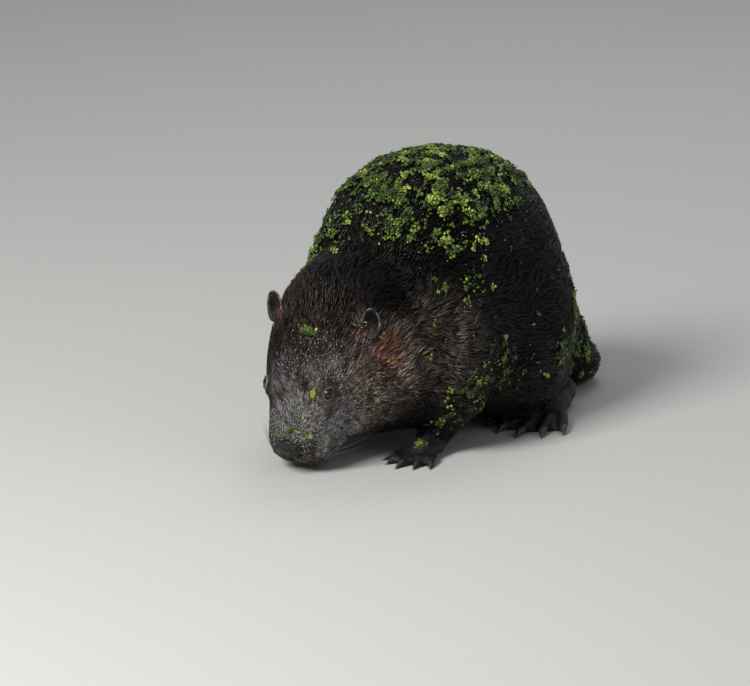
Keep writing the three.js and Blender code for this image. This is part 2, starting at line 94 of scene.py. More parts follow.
@dataclass(frozen=True)
class Frame:
    """A frame in which lengths are millimetres, placed in the model's frame of metres."""

    matrix: Matrix

    def point(self, x: float, y: float, z: float) -> Vector:
        """A place in metres."""
        return self.matrix @ Vector((x, y, z))

    def way(self, x: float, y: float, z: float) -> Vector:
        """A direction of length one."""
        return (self.matrix.to_3x3() @ Vector((x, y, z))).normalized()

    def points(self, local: Array) -> Array:
        """Places in metres for rows of millimetres."""
        turn = np.array(self.matrix.to_3x3())
        return local @ turn.T + np.array(self.matrix.translation)

    def local(self, places: Array) -> Array:
        """Rows of millimetres for places in metres."""
        back = np.array(self.matrix.inverted())
        return places @ back[:3, :3].T + back[:3, 3]


HEAD_PIVOT = (-7, -115, 143)
HEAD_PITCH = 50
HEAD_ROLL = 8
HEAD_TURN = 3
TOES_BEHIND_SHOULDERS = 47.2


def body_frame() -> Frame:
    """The frame whose origin lies on the floor between the shoulders, found from the feet.

    Returns:
        A frame with the nose towards -Y and the left side towards +X.
    """
    left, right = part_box("foot_left"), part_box("foot_right")
    middle = (left[1].x + right[0].x) / 2
    shoulders = left[0].y - TOES_BEHIND_SHOULDERS * MM
    return Frame(Matrix.Translation((middle, shoulders, 0)) @ Matrix.Scale(MM, 4))


def head_frame(body: Frame) -> Frame:
    """The head's frame: origin between the ears, nose towards -Y, crown towards +Z.

    Args:
        body: The frame of the whole animal.

    Returns:
        The head's frame.
    """
    turn = Matrix.Rotation(math.radians(HEAD_PITCH), 4, "X")
    turn = turn @ Matrix.Rotation(math.radians(HEAD_ROLL), 4, "Y")
    turn = turn @ Matrix.Rotation(math.radians(HEAD_TURN), 4, "Z")
    return Frame(body.matrix @ Matrix.Translation(HEAD_PIVOT) @ turn)


class Region(Enum):
    """The frame that a place on the animal is told in."""

    BODY = "body"
    HEAD = "head"


BODY, HEAD = Region


@dataclass(frozen=True)
class Places:
    """Both frames of the animal."""

    body: Frame
    head: Frame

    def of(self, region: Region) -> Frame:
        """The frame of a region."""
        return self.head if region is HEAD else self.body


@dataclass(frozen=True)
class Patch:
    """A soft egg-shaped patch of the animal, told in millimetres."""

    region: Region
    at: Triple
    radii: Triple
    strength: float = 1.0
    paired: bool = False

    def weight(self, places: Places, points: Array) -> Array:
        """How much of the patch each point has, from 0 to the patch's strength.

        Args:
            places: Both frames.
            points: Rows of metres.

        Returns:
            One number for each point.
        """
        local = places.of(self.region).local(points)
        if self.paired:
            local = np.column_stack((np.abs(local[:, 0]), local[:, 1:]))
        share = np.linalg.norm((local - np.array(self.at)) / np.array(self.radii), axis=1)
        return self.strength * smooth_step(1.0 - (share - 0.55) / 0.9)


def smooth_step(share: Array) -> Array:
    """An even ease from 0 to 1."""
    clipped = np.clip(share, 0.0, 1.0)
    return clipped * clipped * (3.0 - 2.0 * clipped)


def unit(rows: Array) -> Array:
    """Rows scaled to length one."""
    return rows / np.maximum(np.linalg.norm(rows, axis=1, keepdims=True), 1e-12)


def waves(points: Array, length: float, seed: int) -> Array:
    """A smooth random value about 0 at each point.

    Args:
        points: Rows of metres.
        length: Metres over which the value changes.
        seed: Picks the pattern.

    Returns:
        One value for each point, mostly between -2 and 2.
    """
    count = 7
    rng = np.random.default_rng(seed)
    axes = unit(rng.normal(size=(count, 3))) * rng.uniform(0.7, 1.5, (count, 1))
    phases = rng.uniform(0, 2 * math.pi, count)
    return np.sin(points @ (axes.T * 2 * math.pi / length) + phases).sum(axis=1) / math.sqrt(count / 2)


def bell(offset: Array, width: float) -> Array:
    """A bump of height 1 that falls away on both sides over a width."""
    return np.exp(-((offset / width) ** 2))


def distances(points: Array, centre: Vector) -> Array:
    """How far each point is from a centre."""
    return np.linalg.norm(points - np.array(centre), axis=1)


def full_turn(count: int) -> Array:
    """Even angles round a full turn, in radians."""
    return np.linspace(0, 2 * math.pi, count, endpoint=False)


def strongest(patches: tuple[Patch, ...], places: Places, points: Array) -> Array:
    """The most that any of some patches gives each point."""
    return np.max([patch.weight(places, points) for patch in patches], axis=0)


# ---- meshes


def only(target: Piece) -> None:
    """Selects one object alone and makes it active.

    Args:
        target: The object.
    """
    bpy.ops.object.select_all(action="DESELECT")
    target.select_set(True)
    bpy.context.view_layer.objects.active = target


def mesh_object(name: str, points: Array, triangles: Array) -> Piece:
    """A smooth-shaded object made from arrays.

    Args:
        name: The object's name.
        points: Rows of metres.
        triangles: Rows of three point numbers.

    Returns:
        The new object, linked to the scene.
    """
    mesh = bpy.data.meshes.new(name)
    mesh.vertices.add(len(points))
    mesh.vertices.foreach_set("co", np.asarray(points, np.float32).ravel())
    mesh.loops.add(3 * len(triangles))
    mesh.loops.foreach_set("vertex_index", np.asarray(triangles, np.int32).ravel())
    mesh.polygons.add(len(triangles))
    mesh.polygons.foreach_set("loop_start", np.arange(0, 3 * len(triangles), 3, dtype=np.int32))
    mesh.update(calc_edges=True)
    mesh.shade_smooth()
    made = bpy.data.objects.new(name, mesh)
    bpy.context.scene.collection.objects.link(made)
    return made


def rows_of(items: bpy.types.bpy_prop_collection, key: str) -> Array:
    """Three numbers read from each vertex, normal or face of a mesh.

    Args:
        items: The vertices, normals or faces.
        key: What is read from each.

    Returns:
        A row for each of them.
    """
    flat = np.empty(3 * len(items), np.float32)
    items.foreach_get(key, flat)
    return flat.reshape(-1, 3).astype(float)


def points_of(target: Piece) -> Array:
    """The object's vertices as rows of metres."""
    return rows_of(target.data.vertices, "co")


def normals_of(target: Piece) -> Array:
    """The object's vertex normals as rows."""
    return rows_of(target.data.vertex_normals, "vector")


def move_points(target: Piece, points: Array) -> None:
    """Puts the object's vertices at new places."""
    target.data.vertices.foreach_set("co", points.astype(np.float32).ravel())
    target.data.update()


def put_values(target: Piece, name: str, values: Array) -> None:
    """Stores one number for each vertex."""
    layer = target.data.attributes.new(name, "FLOAT", "POINT")
    layer.data.foreach_set("value", values.astype(np.float32))


def apply(target: Piece, kind: str, **settings: object) -> None:
    """Adds a modifier to an object and applies it.

    Args:
        target: The object.
        kind: The modifier's type.
        **settings: Its settings by name.
    """
    only(target)
    modifier = target.modifiers.new(kind.lower(), kind)
    for key, value in settings.items():
        setattr(modifier, key, value)
    bpy.ops.object.modifier_apply(modifier=modifier.name)


def edit_all(target: Piece, operator: Callable[..., object], **settings: object) -> None:
    """Runs an operator over the whole of one object in edit mode.

    Args:
        target: The object.
        operator: The operator.
        **settings: Its settings by name.
    """
    only(target)
    bpy.ops.object.mode_set(mode="EDIT")
    bpy.ops.mesh.select_all(action="SELECT")
    operator(**settings)
    bpy.ops.object.mode_set(mode="OBJECT")


def join(pieces: list[Piece], name: str) -> Piece:
    """Joins objects into one.

    Args:
        pieces: The objects; the first one keeps its settings.
        name: The name of the result.

    Returns:
        The joined object.
    """
    only(pieces[0])
    for piece in pieces:
        piece.select_set(True)
    bpy.ops.object.join()
    pieces[0].name = name
    pieces[0].data.name = name
    return pieces[0]


def rows_to_triangles(rows: int, across: int) -> Array:
    """Triangles between closed rings of points, each ring the same length.

    Args:
        rows: How many rings.
        across: Points in each ring.

    Returns:
        Rows of three point numbers.
    """
    row, column = np.meshgrid(np.arange(rows - 1), np.arange(across), indexing="ij")
    a = row * across + column
    b = row * across + (column + 1) % across
    quads = np.stack((a, b, b + across, a + across), axis=-1).reshape(-1, 4)
    return np.vstack((quads[:, [0, 1, 2]], quads[:, [0, 2, 3]]))


def closed_tube(rings: Array) -> Shape:
    """A closed shape from rings of points, with a pole in the middle of each end ring.

    Args:
        rings: Rings by points by three coordinates, each ring running leftwards round the way ahead.

    Returns:
        Its points and its triangles.
    """
    rows, across = rings.shape[:2]
    points = np.vstack((rings.reshape(-1, 3), rings[0].mean(axis=0), rings[-1].mean(axis=0)))
    column = np.arange(across)
    following = (column + 1) % across
    start = np.column_stack((following, column, np.full(across, rows * across)))
    end = np.column_stack((column, following, np.full(across, rows * across + 1)))
    end[:, :2] += (rows - 1) * across
    return points, np.vstack((rows_to_triangles(rows, across), start, end))


def merged(parts: list[Shape]) -> Shape:
    """Several shapes as one set of points and triangles.

    Args:
        parts: The points and the triangles of each.

    Returns:
        All their points and all their triangles.
    """
    counts = np.cumsum([0] + [len(points) for points, _ in parts])
    triangles = [faces + start for (_, faces), start in zip(parts, counts)]
    return np.vstack([points for points, _ in parts]), np.vstack(triangles)


def repeated(shape: Array, faces: Array, count: int) -> Array:
    """The triangles of many copies of one shape, for copies whose points follow each other."""
    starts = np.arange(count)[:, None, None] * len(shape)
    return (faces[None] + starts).reshape(-1, 3)


def put_on(piece: Piece, finish: bpy.types.Material, slot: str, *replaced: str) -> None:
    """Gives an object its finish and its body, and lets it stand for nodes of the model.

    Args:
        piece: The object.
        finish: Its material.
        slot: Not used.
        *replaced: The nodes that it stands for.
    """
    piece.data.materials.append(finish)
    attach(piece, "root")
    if replaced:
        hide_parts(*replaced)


@dataclass
class Growth:
    """One kind of thing on the animal, made as one or more objects of the same finish."""

    SLOT: ClassVar[str] = "fur"
    made: list[Piece] = field(default_factory=list, init=False)

    def add(self, name: str, points: Array, triangles: Array, **values: Array) -> Piece:
        """Makes one of its objects.

        Args:
            name: The object's name.
            points: Rows of metres.
            triangles: Rows of three point numbers.
            **values: A number for each point, by the name under which the finish reads it.

        Returns:
            The new object.
        """
        piece = mesh_object(name, points, triangles)
        for key, numbers in values.items():
            put_values(piece, key, numbers)
        self.made.append(piece)
        LOG.info("%s: %d triangles", name, len(triangles))
        return piece

    def dress(self, finish: bpy.types.Material) -> None:
        """Gives every object its finish and its body."""
        for piece in self.made:
            put_on(piece, finish, self.SLOT)


# ---- finishes


def colour(code: str) -> tuple[float, float, float, float]:
    """The linear colour of a six-figure code.

    Args:
        code: Two figures each for red, green and blue.

    Returns:
        Red, green and blue from 0 to 1, and full cover.
    """
    parts = [int(code[i : i + 2], 16) / 255 for i in (0, 2, 4)]
    linear = [p / 12.92 if p <= 0.04045 else ((p + 0.055) / 1.055) ** 2.4 for p in parts]
    return (*linear, 1.0)


class Cells(Enum):
    """What a pattern of cells measures."""

    FROM_MIDDLE = "F1"
    FROM_EDGE = "DISTANCE_TO_EDGE"


Socket = bpy.types.NodeSocket
Value = Socket | Vector | float | str


class Recipe:
    """A material whose nodes are added one at a time.

    A value is a socket, a number, a vector, or the six-figure code of a colour.
    """

    def __init__(self, name: str) -> None:
        """Starts a material with a shader and nothing else.

        Args:
            name: The material's name.
        """
        self.material = bpy.data.materials.new(name)
        self.material.use_nodes = True
        self.tree = self.material.node_tree
        self.tree.nodes.clear()
        self.shader = self.tree.nodes.new("ShaderNodeBsdfPrincipled")
        output = self.tree.nodes.new("ShaderNodeOutputMaterial")
        self.feed(output, {"Surface": self.shader.outputs["BSDF"]})

    def feed(self, node: bpy.types.Node, values: dict[str | int, Value]) -> None:
        """Links or sets some of a node's sockets.

        Args:
            node: The node.
            values: A value for each socket's name or number.
        """
        for key, value in values.items():
            if isinstance(value, bpy.types.NodeSocket):
                self.tree.links.new(value, node.inputs[key])
            else:
                node.inputs[key].default_value = colour(value) if isinstance(value, str) else value

    def result(
        self, kind: str, values: dict[str | int, Value], output: str | int = 0, **settings: str
    ) -> Socket:
        """What comes out of a new node.

        Args:
            kind: The node's type, without its usual beginning.
            values: A value for each socket's name or number.
            output: Which of its outputs is meant.
            **settings: Its settings by name.

        Returns:
            The output.
        """
        node = self.tree.nodes.new("ShaderNode" + kind)
        for name, setting in settings.items():
            setattr(node, name, setting)
        self.feed(node, values)
        return node.outputs[output]

    def attribute(self, name: str) -> Socket:
        """A number stored on the mesh."""
        return self.result("Attribute", {}, "Fac", attribute_name=name)

    def place(self) -> Socket:
        """The place on the object, in metres."""
        return self.result("TexCoord", {}, "Object")

    def noise(self, scale: float, detail: float = 2.0) -> Socket:
        """A cloudy pattern with `scale` lumps to the metre."""
        return self.result("TexNoise", {"Scale": scale, "Detail": detail, "Vector": self.place()}, "Fac")

    def cells(self, scale: float, measure: Cells = Cells.FROM_MIDDLE) -> Socket:
        """Distances in a pattern of cells, `scale` of them to the metre."""
        values = {"Scale": scale, "Vector": self.place()}
        return self.result("TexVoronoi", values, "Distance", feature=measure.value)

    def away(self, point: Vector) -> Socket:
        """The distance from a point, in metres."""
        return self.result("VectorMath", {0: self.place(), 1: point}, "Value", operation="DISTANCE")

    def spread(
        self, value: Value, low: float, high: float, to_low: float = 0.0, to_high: float = 1.0
    ) -> Socket:
        """A value stretched from one range to another and clamped."""
        ends = {"From Min": low, "From Max": high, "To Min": to_low, "To Max": to_high}
        return self.result("MapRange", {"Value": value, **ends}, "Result")

    def plus(self, first: Value, second: Value) -> Socket:
        """Two numbers added."""
        return self.result("Math", {0: first, 1: second}, operation="ADD")

    def times(self, first: Value, second: Value) -> Socket:
        """Two numbers multiplied."""
        return self.result("Math", {0: first, 1: second}, operation="MULTIPLY")

    def mix(self, share: Value, first: Value, second: Value) -> Socket:
        """Two colours mixed by a share."""
        return self.result("Mix", {0: share, 6: first, 7: second}, 2, data_type="RGBA")

    def brighten(self, tint: Value, gain: Value) -> Socket:
        """A colour scaled by a number."""
        return self.result("VectorMath", {0: tint, "Scale": gain}, operation="SCALE")

    def bump(self, height: Value, strength: float, depth: float) -> None:
        """Roughens the shader's surface by a height pattern, `depth` metres high."""
        normal = self.result("Bump", {"Strength": strength, "Distance": depth, "Height": height})
        self.feed(self.shader, {"Normal": normal})

    def gloss(self, roughness: float, specular: float, **sockets: float) -> None:
        """Sets the shader's gloss and other sockets, whose names have _ for a space."""
        self.feed(self.shader, {"Roughness": roughness, "Specular IOR Level": specular})
        self.feed(self.shader, {name.replace("_", " "): value for name, value in sockets.items()})

    def painted(self, tint: Value) -> bpy.types.Material:
        """Gives the shader its colour and returns the finished material."""
        self.feed(self.shader, {"Base Color": tint})
        return self.material


@dataclass(frozen=True)
class CoatColoursAndSheen:
    """The colours of the coat, shared by fur and skin, and the pale colour of its painted sheen."""

    soaked: str = "0f0c0a"
    dry: str = "86766b"
    crown: str = "33251f"
    rust: str = "9b6d59"
    # Painted sheen: the pale shine of wet fur on the face, painted into the coat's colour.
    painted_sheen: str = "a3a0a3"

    def pattern(self, recipe: Recipe) -> Socket:
        """The coat's colour and its painted sheen from the markings stored on a mesh.

        Args:
            recipe: The material that needs it.

        Returns:
            A colour socket.
        """
        tint = recipe.mix(recipe.attribute("dry"), self.soaked, self.dry)
        tint = recipe.mix(recipe.attribute("crown"), tint, self.crown)
        tint = recipe.mix(recipe.attribute("rust"), tint, self.rust)
        return recipe.mix(recipe.attribute("painted_sheen"), tint, self.painted_sheen)


@dataclass(frozen=True)
class FurFinish:
    """Wet fur in thin clumps, darkened towards the root as painted shade inside the coat, paler at the tip,
    and with a few pale tufts of painted sheen.
    """

    name: str = "wet_fur"
    colours_and_sheen: CoatColoursAndSheen = CoatColoursAndSheen()
    # Painted shade inside the coat: each tuft darker towards its root.
    root_shade_gain: float = 0.35
    tip_gain: float = 1.2
    dark_gain: float = 0.26
    # The palest tufts stand for the painted sheen on wet hair.
    light_gain: float = 2.8
    roughness: float = 0.38
    specular: float = 0.26

    def make(self) -> bpy.types.Material:
        """Makes the material.

        Returns:
            The finished material.
        """
        recipe = Recipe(self.name)
        along = recipe.spread(recipe.attribute("along"), 0.0, 1.0, self.root_shade_gain, self.tip_gain)
        tone = recipe.spread(recipe.attribute("tone"), 0.0, 1.0, self.dark_gain, self.light_gain)
        recipe.gloss(self.roughness, self.specular)
        return recipe.painted(recipe.brighten(self.colours_and_sheen.pattern(recipe), recipe.times(along, tone)))


@dataclass(frozen=True)
class SkinFinish:
    """Hide under the coat in painted shade, bare wet skin on hands, feet and ears, and the leather of the
    tail, with painted highlights on wet rims and painted shade in ear hollows.
    """

    name: str = "wet_skin"
    colours_and_sheen: CoatColoursAndSheen = CoatColoursAndSheen()
    bare: str = "29292c"
    bare_dark: str = "0e0e0f"
    tail: str = "2b2824"
    # Painted highlight: the pale shine on the wet rims of the ears and lids.
    rim: str = "b4b0b0"
    under_fur_shade_gain: float = 0.3
    hollow_shade_gain: float = 0.08
    clouds: float = 160.0
    wrinkles: float = 520.0
    pores: float = 1400.0
    wrinkle_depth: float = 0.0004
    roughness: float = 0.36
    specular: float = 0.25

    def make(self) -> bpy.types.Material:
        """Makes the material.

        Returns:
            The finished material.
        """
        recipe = Recipe(self.name)
        cloud = recipe.noise(self.clouds, 4.0)
        bare = recipe.mix(recipe.spread(cloud, 0.35, 0.65), self.bare_dark, self.bare)
        # Painted shade under the fur: the coat's colours darkened for the hide between the tufts.
        shade = recipe.spread(cloud, 0.3, 0.7, self.under_fur_shade_gain, 2 * self.under_fur_shade_gain)
        under = recipe.brighten(self.colours_and_sheen.pattern(recipe), shade)
        tint = recipe.mix(recipe.attribute("furred"), bare, under)
        leather = recipe.mix(recipe.spread(cloud, 0.4, 0.6), self.bare_dark, self.tail)
        tint = recipe.mix(recipe.attribute("tail"), tint, leather)
        # Below zero the edge attribute is painted shade in the ear's hollow; above zero, a painted highlight
        # on wet rims.
        edge = recipe.attribute("edge")
        tint = recipe.brighten(tint, recipe.spread(edge, -1.0, 0.0, self.hollow_shade_gain, 1.0))
        tint = recipe.mix(recipe.spread(edge, 0.0, 1.0), tint, self.rim)
        wrinkles = recipe.spread(recipe.cells(self.wrinkles, Cells.FROM_EDGE), 0.0, 0.16)
        recipe.bump(recipe.plus(wrinkles, recipe.noise(self.pores, 3.0)), 0.55, self.wrinkle_depth)
        recipe.gloss(self.roughness, self.specular)
        return recipe.painted(tint)


@dataclass(frozen=True)
class PlateFinish:
    """Dark horn or leather plates, each a little different, with a cloudy grain."""

    name: str
    dark: str
    pale: str
    roughness: float
    grain: float
    specular: float = 0.5
    grain_depth: float = 0.0002

    def make(self) -> bpy.types.Material:
        """Makes the material.

        Returns:
            The finished material.
        """
        recipe = Recipe(self.name)
        tone = recipe.times(recipe.attribute("tone"), recipe.noise(self.grain, 3.0))
        recipe.bump(recipe.noise(self.grain * 3, 3.0), 0.4, self.grain_depth)
        recipe.gloss(self.roughness, self.specular)
        return recipe.painted(recipe.mix(recipe.spread(tone, 0.05, 0.6), self.dark, self.pale))


@dataclass(frozen=True)
class NoseFinish:
    """The wet, pebbled pad of the nose, with painted shade in its nostrils."""

    name: str = "wet_nose"
    dark: str = "060606"
    pale: str = "181616"
    # Painted shade: the near-black of the nostrils' depths.
    hollow: str = "010101"
    pebbles: float = 950.0
    pebble_depth: float = 0.0005
    roughness: float = 0.22
    specular: float = 0.4

    def make(self) -> bpy.types.Material:
        """Makes the material.

        Returns:
            The finished material.
        """
        recipe = Recipe(self.name)
        pebbles = recipe.cells(self.pebbles)
        recipe.bump(recipe.spread(pebbles, 0.0, 0.7, 1.0, 0.0), 1.0, self.pebble_depth)
        recipe.gloss(self.roughness, self.specular)
        hide = recipe.mix(recipe.spread(pebbles, 0.1, 0.8), self.pale, self.dark)
        return recipe.painted(recipe.mix(recipe.attribute("nostril_shade"), hide, self.hollow))


@dataclass(frozen=True)
class EyeFinish:
    """A dark wet eye: black pupil, dark brown iris and a nearly black rim."""

    name: str
    front: Vector
    pupil: str = "020202"
    iris: str = "2c140c"
    rim: str = "070504"
    pupil_edge: tuple[float, float] = (0.0018, 0.0023)
    iris_edge: tuple[float, float] = (0.0036, 0.0044)
    fleck: float = 0.0003
    roughness: float = 0.05
    specular: float = 0.3

    def make(self) -> bpy.types.Material:
        """Makes the material.

        Returns:
            The finished material.
        """
        recipe = Recipe(self.name)
        flecks = recipe.spread(recipe.noise(1500.0, 3.0), 0.3, 0.7, -self.fleck, self.fleck)
        away = recipe.plus(recipe.away(self.front), flecks)
        inner = recipe.mix(recipe.spread(away, *self.pupil_edge), self.pupil, self.iris)
        recipe.gloss(self.roughness, self.specular, Coat_Weight=0.5, Coat_Roughness=0.02)
        return recipe.painted(recipe.mix(recipe.spread(away, *self.iris_edge), inner, self.rim))


@dataclass(frozen=True)
class DuckweedFinish:
    """Fresh fronds, from yellow green to a darker wet green."""

    name: str = "duckweed"
    deep: str = "24310f"
    fresh: str = "5f7a26"
    yellow: str = "a8b851"
    roughness: float = 0.32
    specular: float = 0.5

    def make(self) -> bpy.types.Material:
        """Makes the material.

        Returns:
            The finished material.
        """
        recipe = Recipe(self.name)
        tone = recipe.plus(recipe.attribute("tone"), recipe.spread(recipe.noise(90.0), 0.3, 0.7, -0.3, 0.3))
        tint = recipe.mix(recipe.spread(tone, 0.0, 0.75), self.deep, self.fresh)
        tint = recipe.mix(recipe.spread(tone, 0.75, 1.15), tint, self.yellow)
        recipe.bump(recipe.noise(1600.0), 0.3, 0.0002)
        recipe.gloss(self.roughness, self.specular)
        return recipe.painted(tint)


@dataclass(frozen=True)
class WaterFinish:
    """Half-clear water whose near-white colour is a painted highlight."""

    name: str = "water_drop"
    # Painted highlight: the drops' near-white colours stand in for their glints.
    glint_grey: str = "b4babc"
    glint_white: str = "f2f5f5"
    roughness: float = 0.03
    specular: float = 0.9

    def make(self) -> bpy.types.Material:
        """Makes the material.

        Returns:
            The finished material.
        """
        recipe = Recipe(self.name)
        recipe.gloss(self.roughness, self.specular, Transmission_Weight=0.5, IOR=1.33)
        cloud = recipe.spread(recipe.noise(300.0), 0.35, 0.65)
        return recipe.painted(recipe.mix(cloud, self.glint_grey, self.glint_white))


@dataclass(frozen=True)
class PlainFinish:
    """A thin or small thing with a faint cloudiness in its colour."""

    name: str
    first: str
    second: str
    roughness: float
    specular: float = 0.5

    def make(self) -> bpy.types.Material:
        """Makes the material.

        Returns:
            The finished material.
        """
        recipe = Recipe(self.name)
        recipe.gloss(self.roughness, self.specular)
        cloud = recipe.spread(recipe.noise(220.0), 0.35, 0.65)
        return recipe.painted(recipe.mix(cloud, self.first, self.second))


# ---- markings, painted sheen and lie of the coat


@dataclass(frozen=True)
class MarkingsAndSheen:
    """Where the coat is dry, reddish or rusty, and where a painted sheen of wet shines on it, the same on skin
    and fur.
    """

    dry: tuple[Patch, ...] = (
        Patch(HEAD, (20, -64, -46), (46, 70, 42), 0.95),
        Patch(HEAD, (52, -30, -38), (34, 40, 36), 0.68),
        Patch(BODY, (84, -60, 110), (40, 44, 44), 0.3),
    )
    crown: tuple[Patch, ...] = (
        Patch(HEAD, (-22, -30, 8), (36, 44, 34), 0.9),
        Patch(HEAD, (20, -24, 12), (30, 24, 18), 0.85),
        Patch(BODY, (10, -84, 186), (60, 36, 30), 0.1),
    )
    rust: tuple[Patch, ...] = (
        Patch(HEAD, (60, -24, -28), (15, 15, 16), 0.85, True),
        Patch(HEAD, (46, -22, 2), (12, 12, 10), 0.3, True),
    )
    # Painted sheen: where the wet fur of the face shines, most of all on the muzzle.
    painted_sheen: tuple[Patch, ...] = (
        Patch(HEAD, (10, -102, -16), (24, 24, 18), 0.42),
        Patch(HEAD, (24, -58, 3), (22, 26, 18), 0.06),
        Patch(HEAD, (-12, -76, 2), (16, 20, 14), 0.2),
        Patch(HEAD, (36, -98, -50), (18, 24, 24), 1.0),
        Patch(HEAD, (48, -15, 3), (6, 6, 6), 0.45),
    )

    def weights(self, places: Places, points: Array) -> dict[str, Array]:
        """Every marking, and the painted sheen, at every point.

        Args:
            places: Both frames.
            points: Rows of metres.

        Returns:
            A share from 0 to 1 for each point, by the marking's name.
        """
        ragged = 1.0 + 0.25 * waves(points, 0.016, 5)
        found = {}
        for name in ("dry", "crown", "rust", "painted_sheen"):
            found[name] = np.clip(strongest(getattr(self, name), places, points) * ragged, 0.0, 1.0)
        return found


MARKINGS_AND_SHEEN = MarkingsAndSheen()


@dataclass(frozen=True)
class Guide:
    """The way the hair lies at one place, and at its twin where the place is off the middle line."""

    at: Triple
    lie: Triple

    @property
    def sides(self) -> tuple[int, ...]:
        """The sides of the animal that it holds for."""
        return (1, -1) if self.at[0] else (1,)


GUIDES = {
    HEAD: (
        Guide((0, -112, -18), (0, 1, 0.4)),
        Guide((0, -86, 0), (0, 1, 0.3)),
        Guide((0, -56, 8), (0, 1, 0.1)),
        Guide((0, -20, 12), (0, 1, 0)),
        Guide((24, -104, -30), (0.45, 1, 0.15)),
        Guide((27, -78, -6), (0.3, 1, 0.35)),
        Guide((30, -52, 2), (0.35, 1, 0.05)),
        Guide((46, -18, -2), (0.3, 1, -0.3)),
        Guide((40, -72, -34), (0.3, 1, -0.35)),
        Guide((60, -36, -44), (0.15, 0.8, -0.65)),
        Guide((50, -44, -78), (0.1, 0.7, -0.75)),
        Guide((20, -116, -58), (0.8, 0.8, -0.3)),
        Guide((30, -88, -66), (0.3, 1, -0.35)),
        Guide((0, -100, -88), (0, 1, -0.3)),
        Guide((0, -50, -104), (0, 1, -0.2)),
    ),
    BODY: (
        Guide((0, -70, 205), (0, 1, 0.45)),
        Guide((0, -10, 236), (0, 1, 0.3)),
        Guide((0, 60, 258), (0, 1, 0)),
        Guide((0, 130, 222), (0, 1, -0.8)),
        Guide((0, 180, 140), (0, 0.6, -1)),
        Guide((0, 220, 60), (0, 1, -0.7)),
        Guide((0, 250, 26), (-0.5, 1, -0.1)),
        Guide((74, -50, 160), (0.05, 1, 0.12)),
        Guide((88, -20, 190), (0.05, 1, 0.05)),
        Guide((98, -20, 126), (0.05, 1, 0.02)),
        Guide((100, -10, 84), (0.05, 1, -0.5)),
        Guide((90, 60, 220), (0, 1, -0.2)),
        Guide((104, 50, 160), (0, 1, 0.35)),
        Guide((104, 30, 112), (0, 1, 0.2)),
        Guide((106, 100, 110), (0, 1, 0.8)),
        Guide((100, 110, 150), (0, 1, 0.7)),
        Guide((84, 160, 110), (-0.3, 1, 0.3)),
        Guide((100, 90, 60), (0, 1, 0.1)),
        Guide((92, 110, 24), (0, 1, -0.5)),
        Guide((60, 20, 20), (0, 1, -0.2)),
        Guide((0, 70, 16), (0, 1, 0)),
        Guide((0, -30, 30), (0, 1, -0.6)),
        Guide((0, -70, 70), (0, 0.5, -1)),
        Guide((90, -44, 108), (0.05, 1, -0.1)),
        Guide((94, -50, 76), (0.05, 1, -0.45)),
        Guide((88, -20, 50), (-0.2, 0.8, -0.8)),
        Guide((66, -30, 24), (-0.3, 0.1, -1)),
    ),
}


@dataclass(frozen=True)
class Lie:
    """The lie of the hair all over the animal, eased between the guides."""

    reach: float = 0.022
    sway: float = 0.26
    ruffle: float = 0.14
    swirl_at: Triple = (48, -14, 3)
    swirl_radius: float = 0.0065
    parting: float = 0.0085

    def ways(self, places: Places, points: Array, normals: Array, eyes: list["Eye"]) -> Array:
        """The way the hair lies at each point, along the skin.

        Args:
            places: Both frames.
            points: Rows of metres.
            normals: The skin's normals there.
            eyes: The eyes, round which the hair parts.

        Returns:
            Rows of length one.
        """
        total = np.zeros_like(points)
        for region, guides in GUIDES.items():
            frame = places.of(region)
            for guide, side in [(guide, side) for guide in guides for side in guide.sides]:
                away = distances(points, frame.point(side * guide.at[0], *guide.at[1:]))
                lie = np.array(frame.way(side * guide.lie[0], *guide.lie[1:]))
                total += lie / (away[:, None] ** 2 + self.reach**2) ** 1.5
        ways = self.flatten(total, normals)
        for eye in eyes:
            nearness = smooth_step(1.9 - distances(points, eye.front) / self.parting)
            outward = unit(points - np.array(eye.front)) * (1.7 * nearness)[:, None]
            ways = self.flatten(ways + outward, normals)
        sway = self.sway * waves(points, 0.055, 11) + self.ruffle * waves(points, 0.018, 12)
        return self.turn(self.turn(ways, normals, sway), normals, self.swirl(places, points))

    def swirl(self, places: Places, points: Array) -> Array:
        """How far the hair turns in the small whorl in front of the left ear."""
        away = distances(points, places.head.point(*self.swirl_at))
        return 2.4 * smooth_step(1.3 - away / self.swirl_radius)

    @staticmethod
    def flatten(ways: Array, normals: Array) -> Array:
        """Directions laid along the skin."""
        return unit(ways - normals * np.sum(ways * normals, axis=1, keepdims=True))

    @staticmethod
    def turn(ways: Array, normals: Array, angles: Array) -> Array:
        """Directions turned about the normals by angles in radians."""
        side = np.cross(normals, ways)
        return ways * np.cos(angles)[:, None] + side * np.sin(angles)[:, None]


# ---- tail


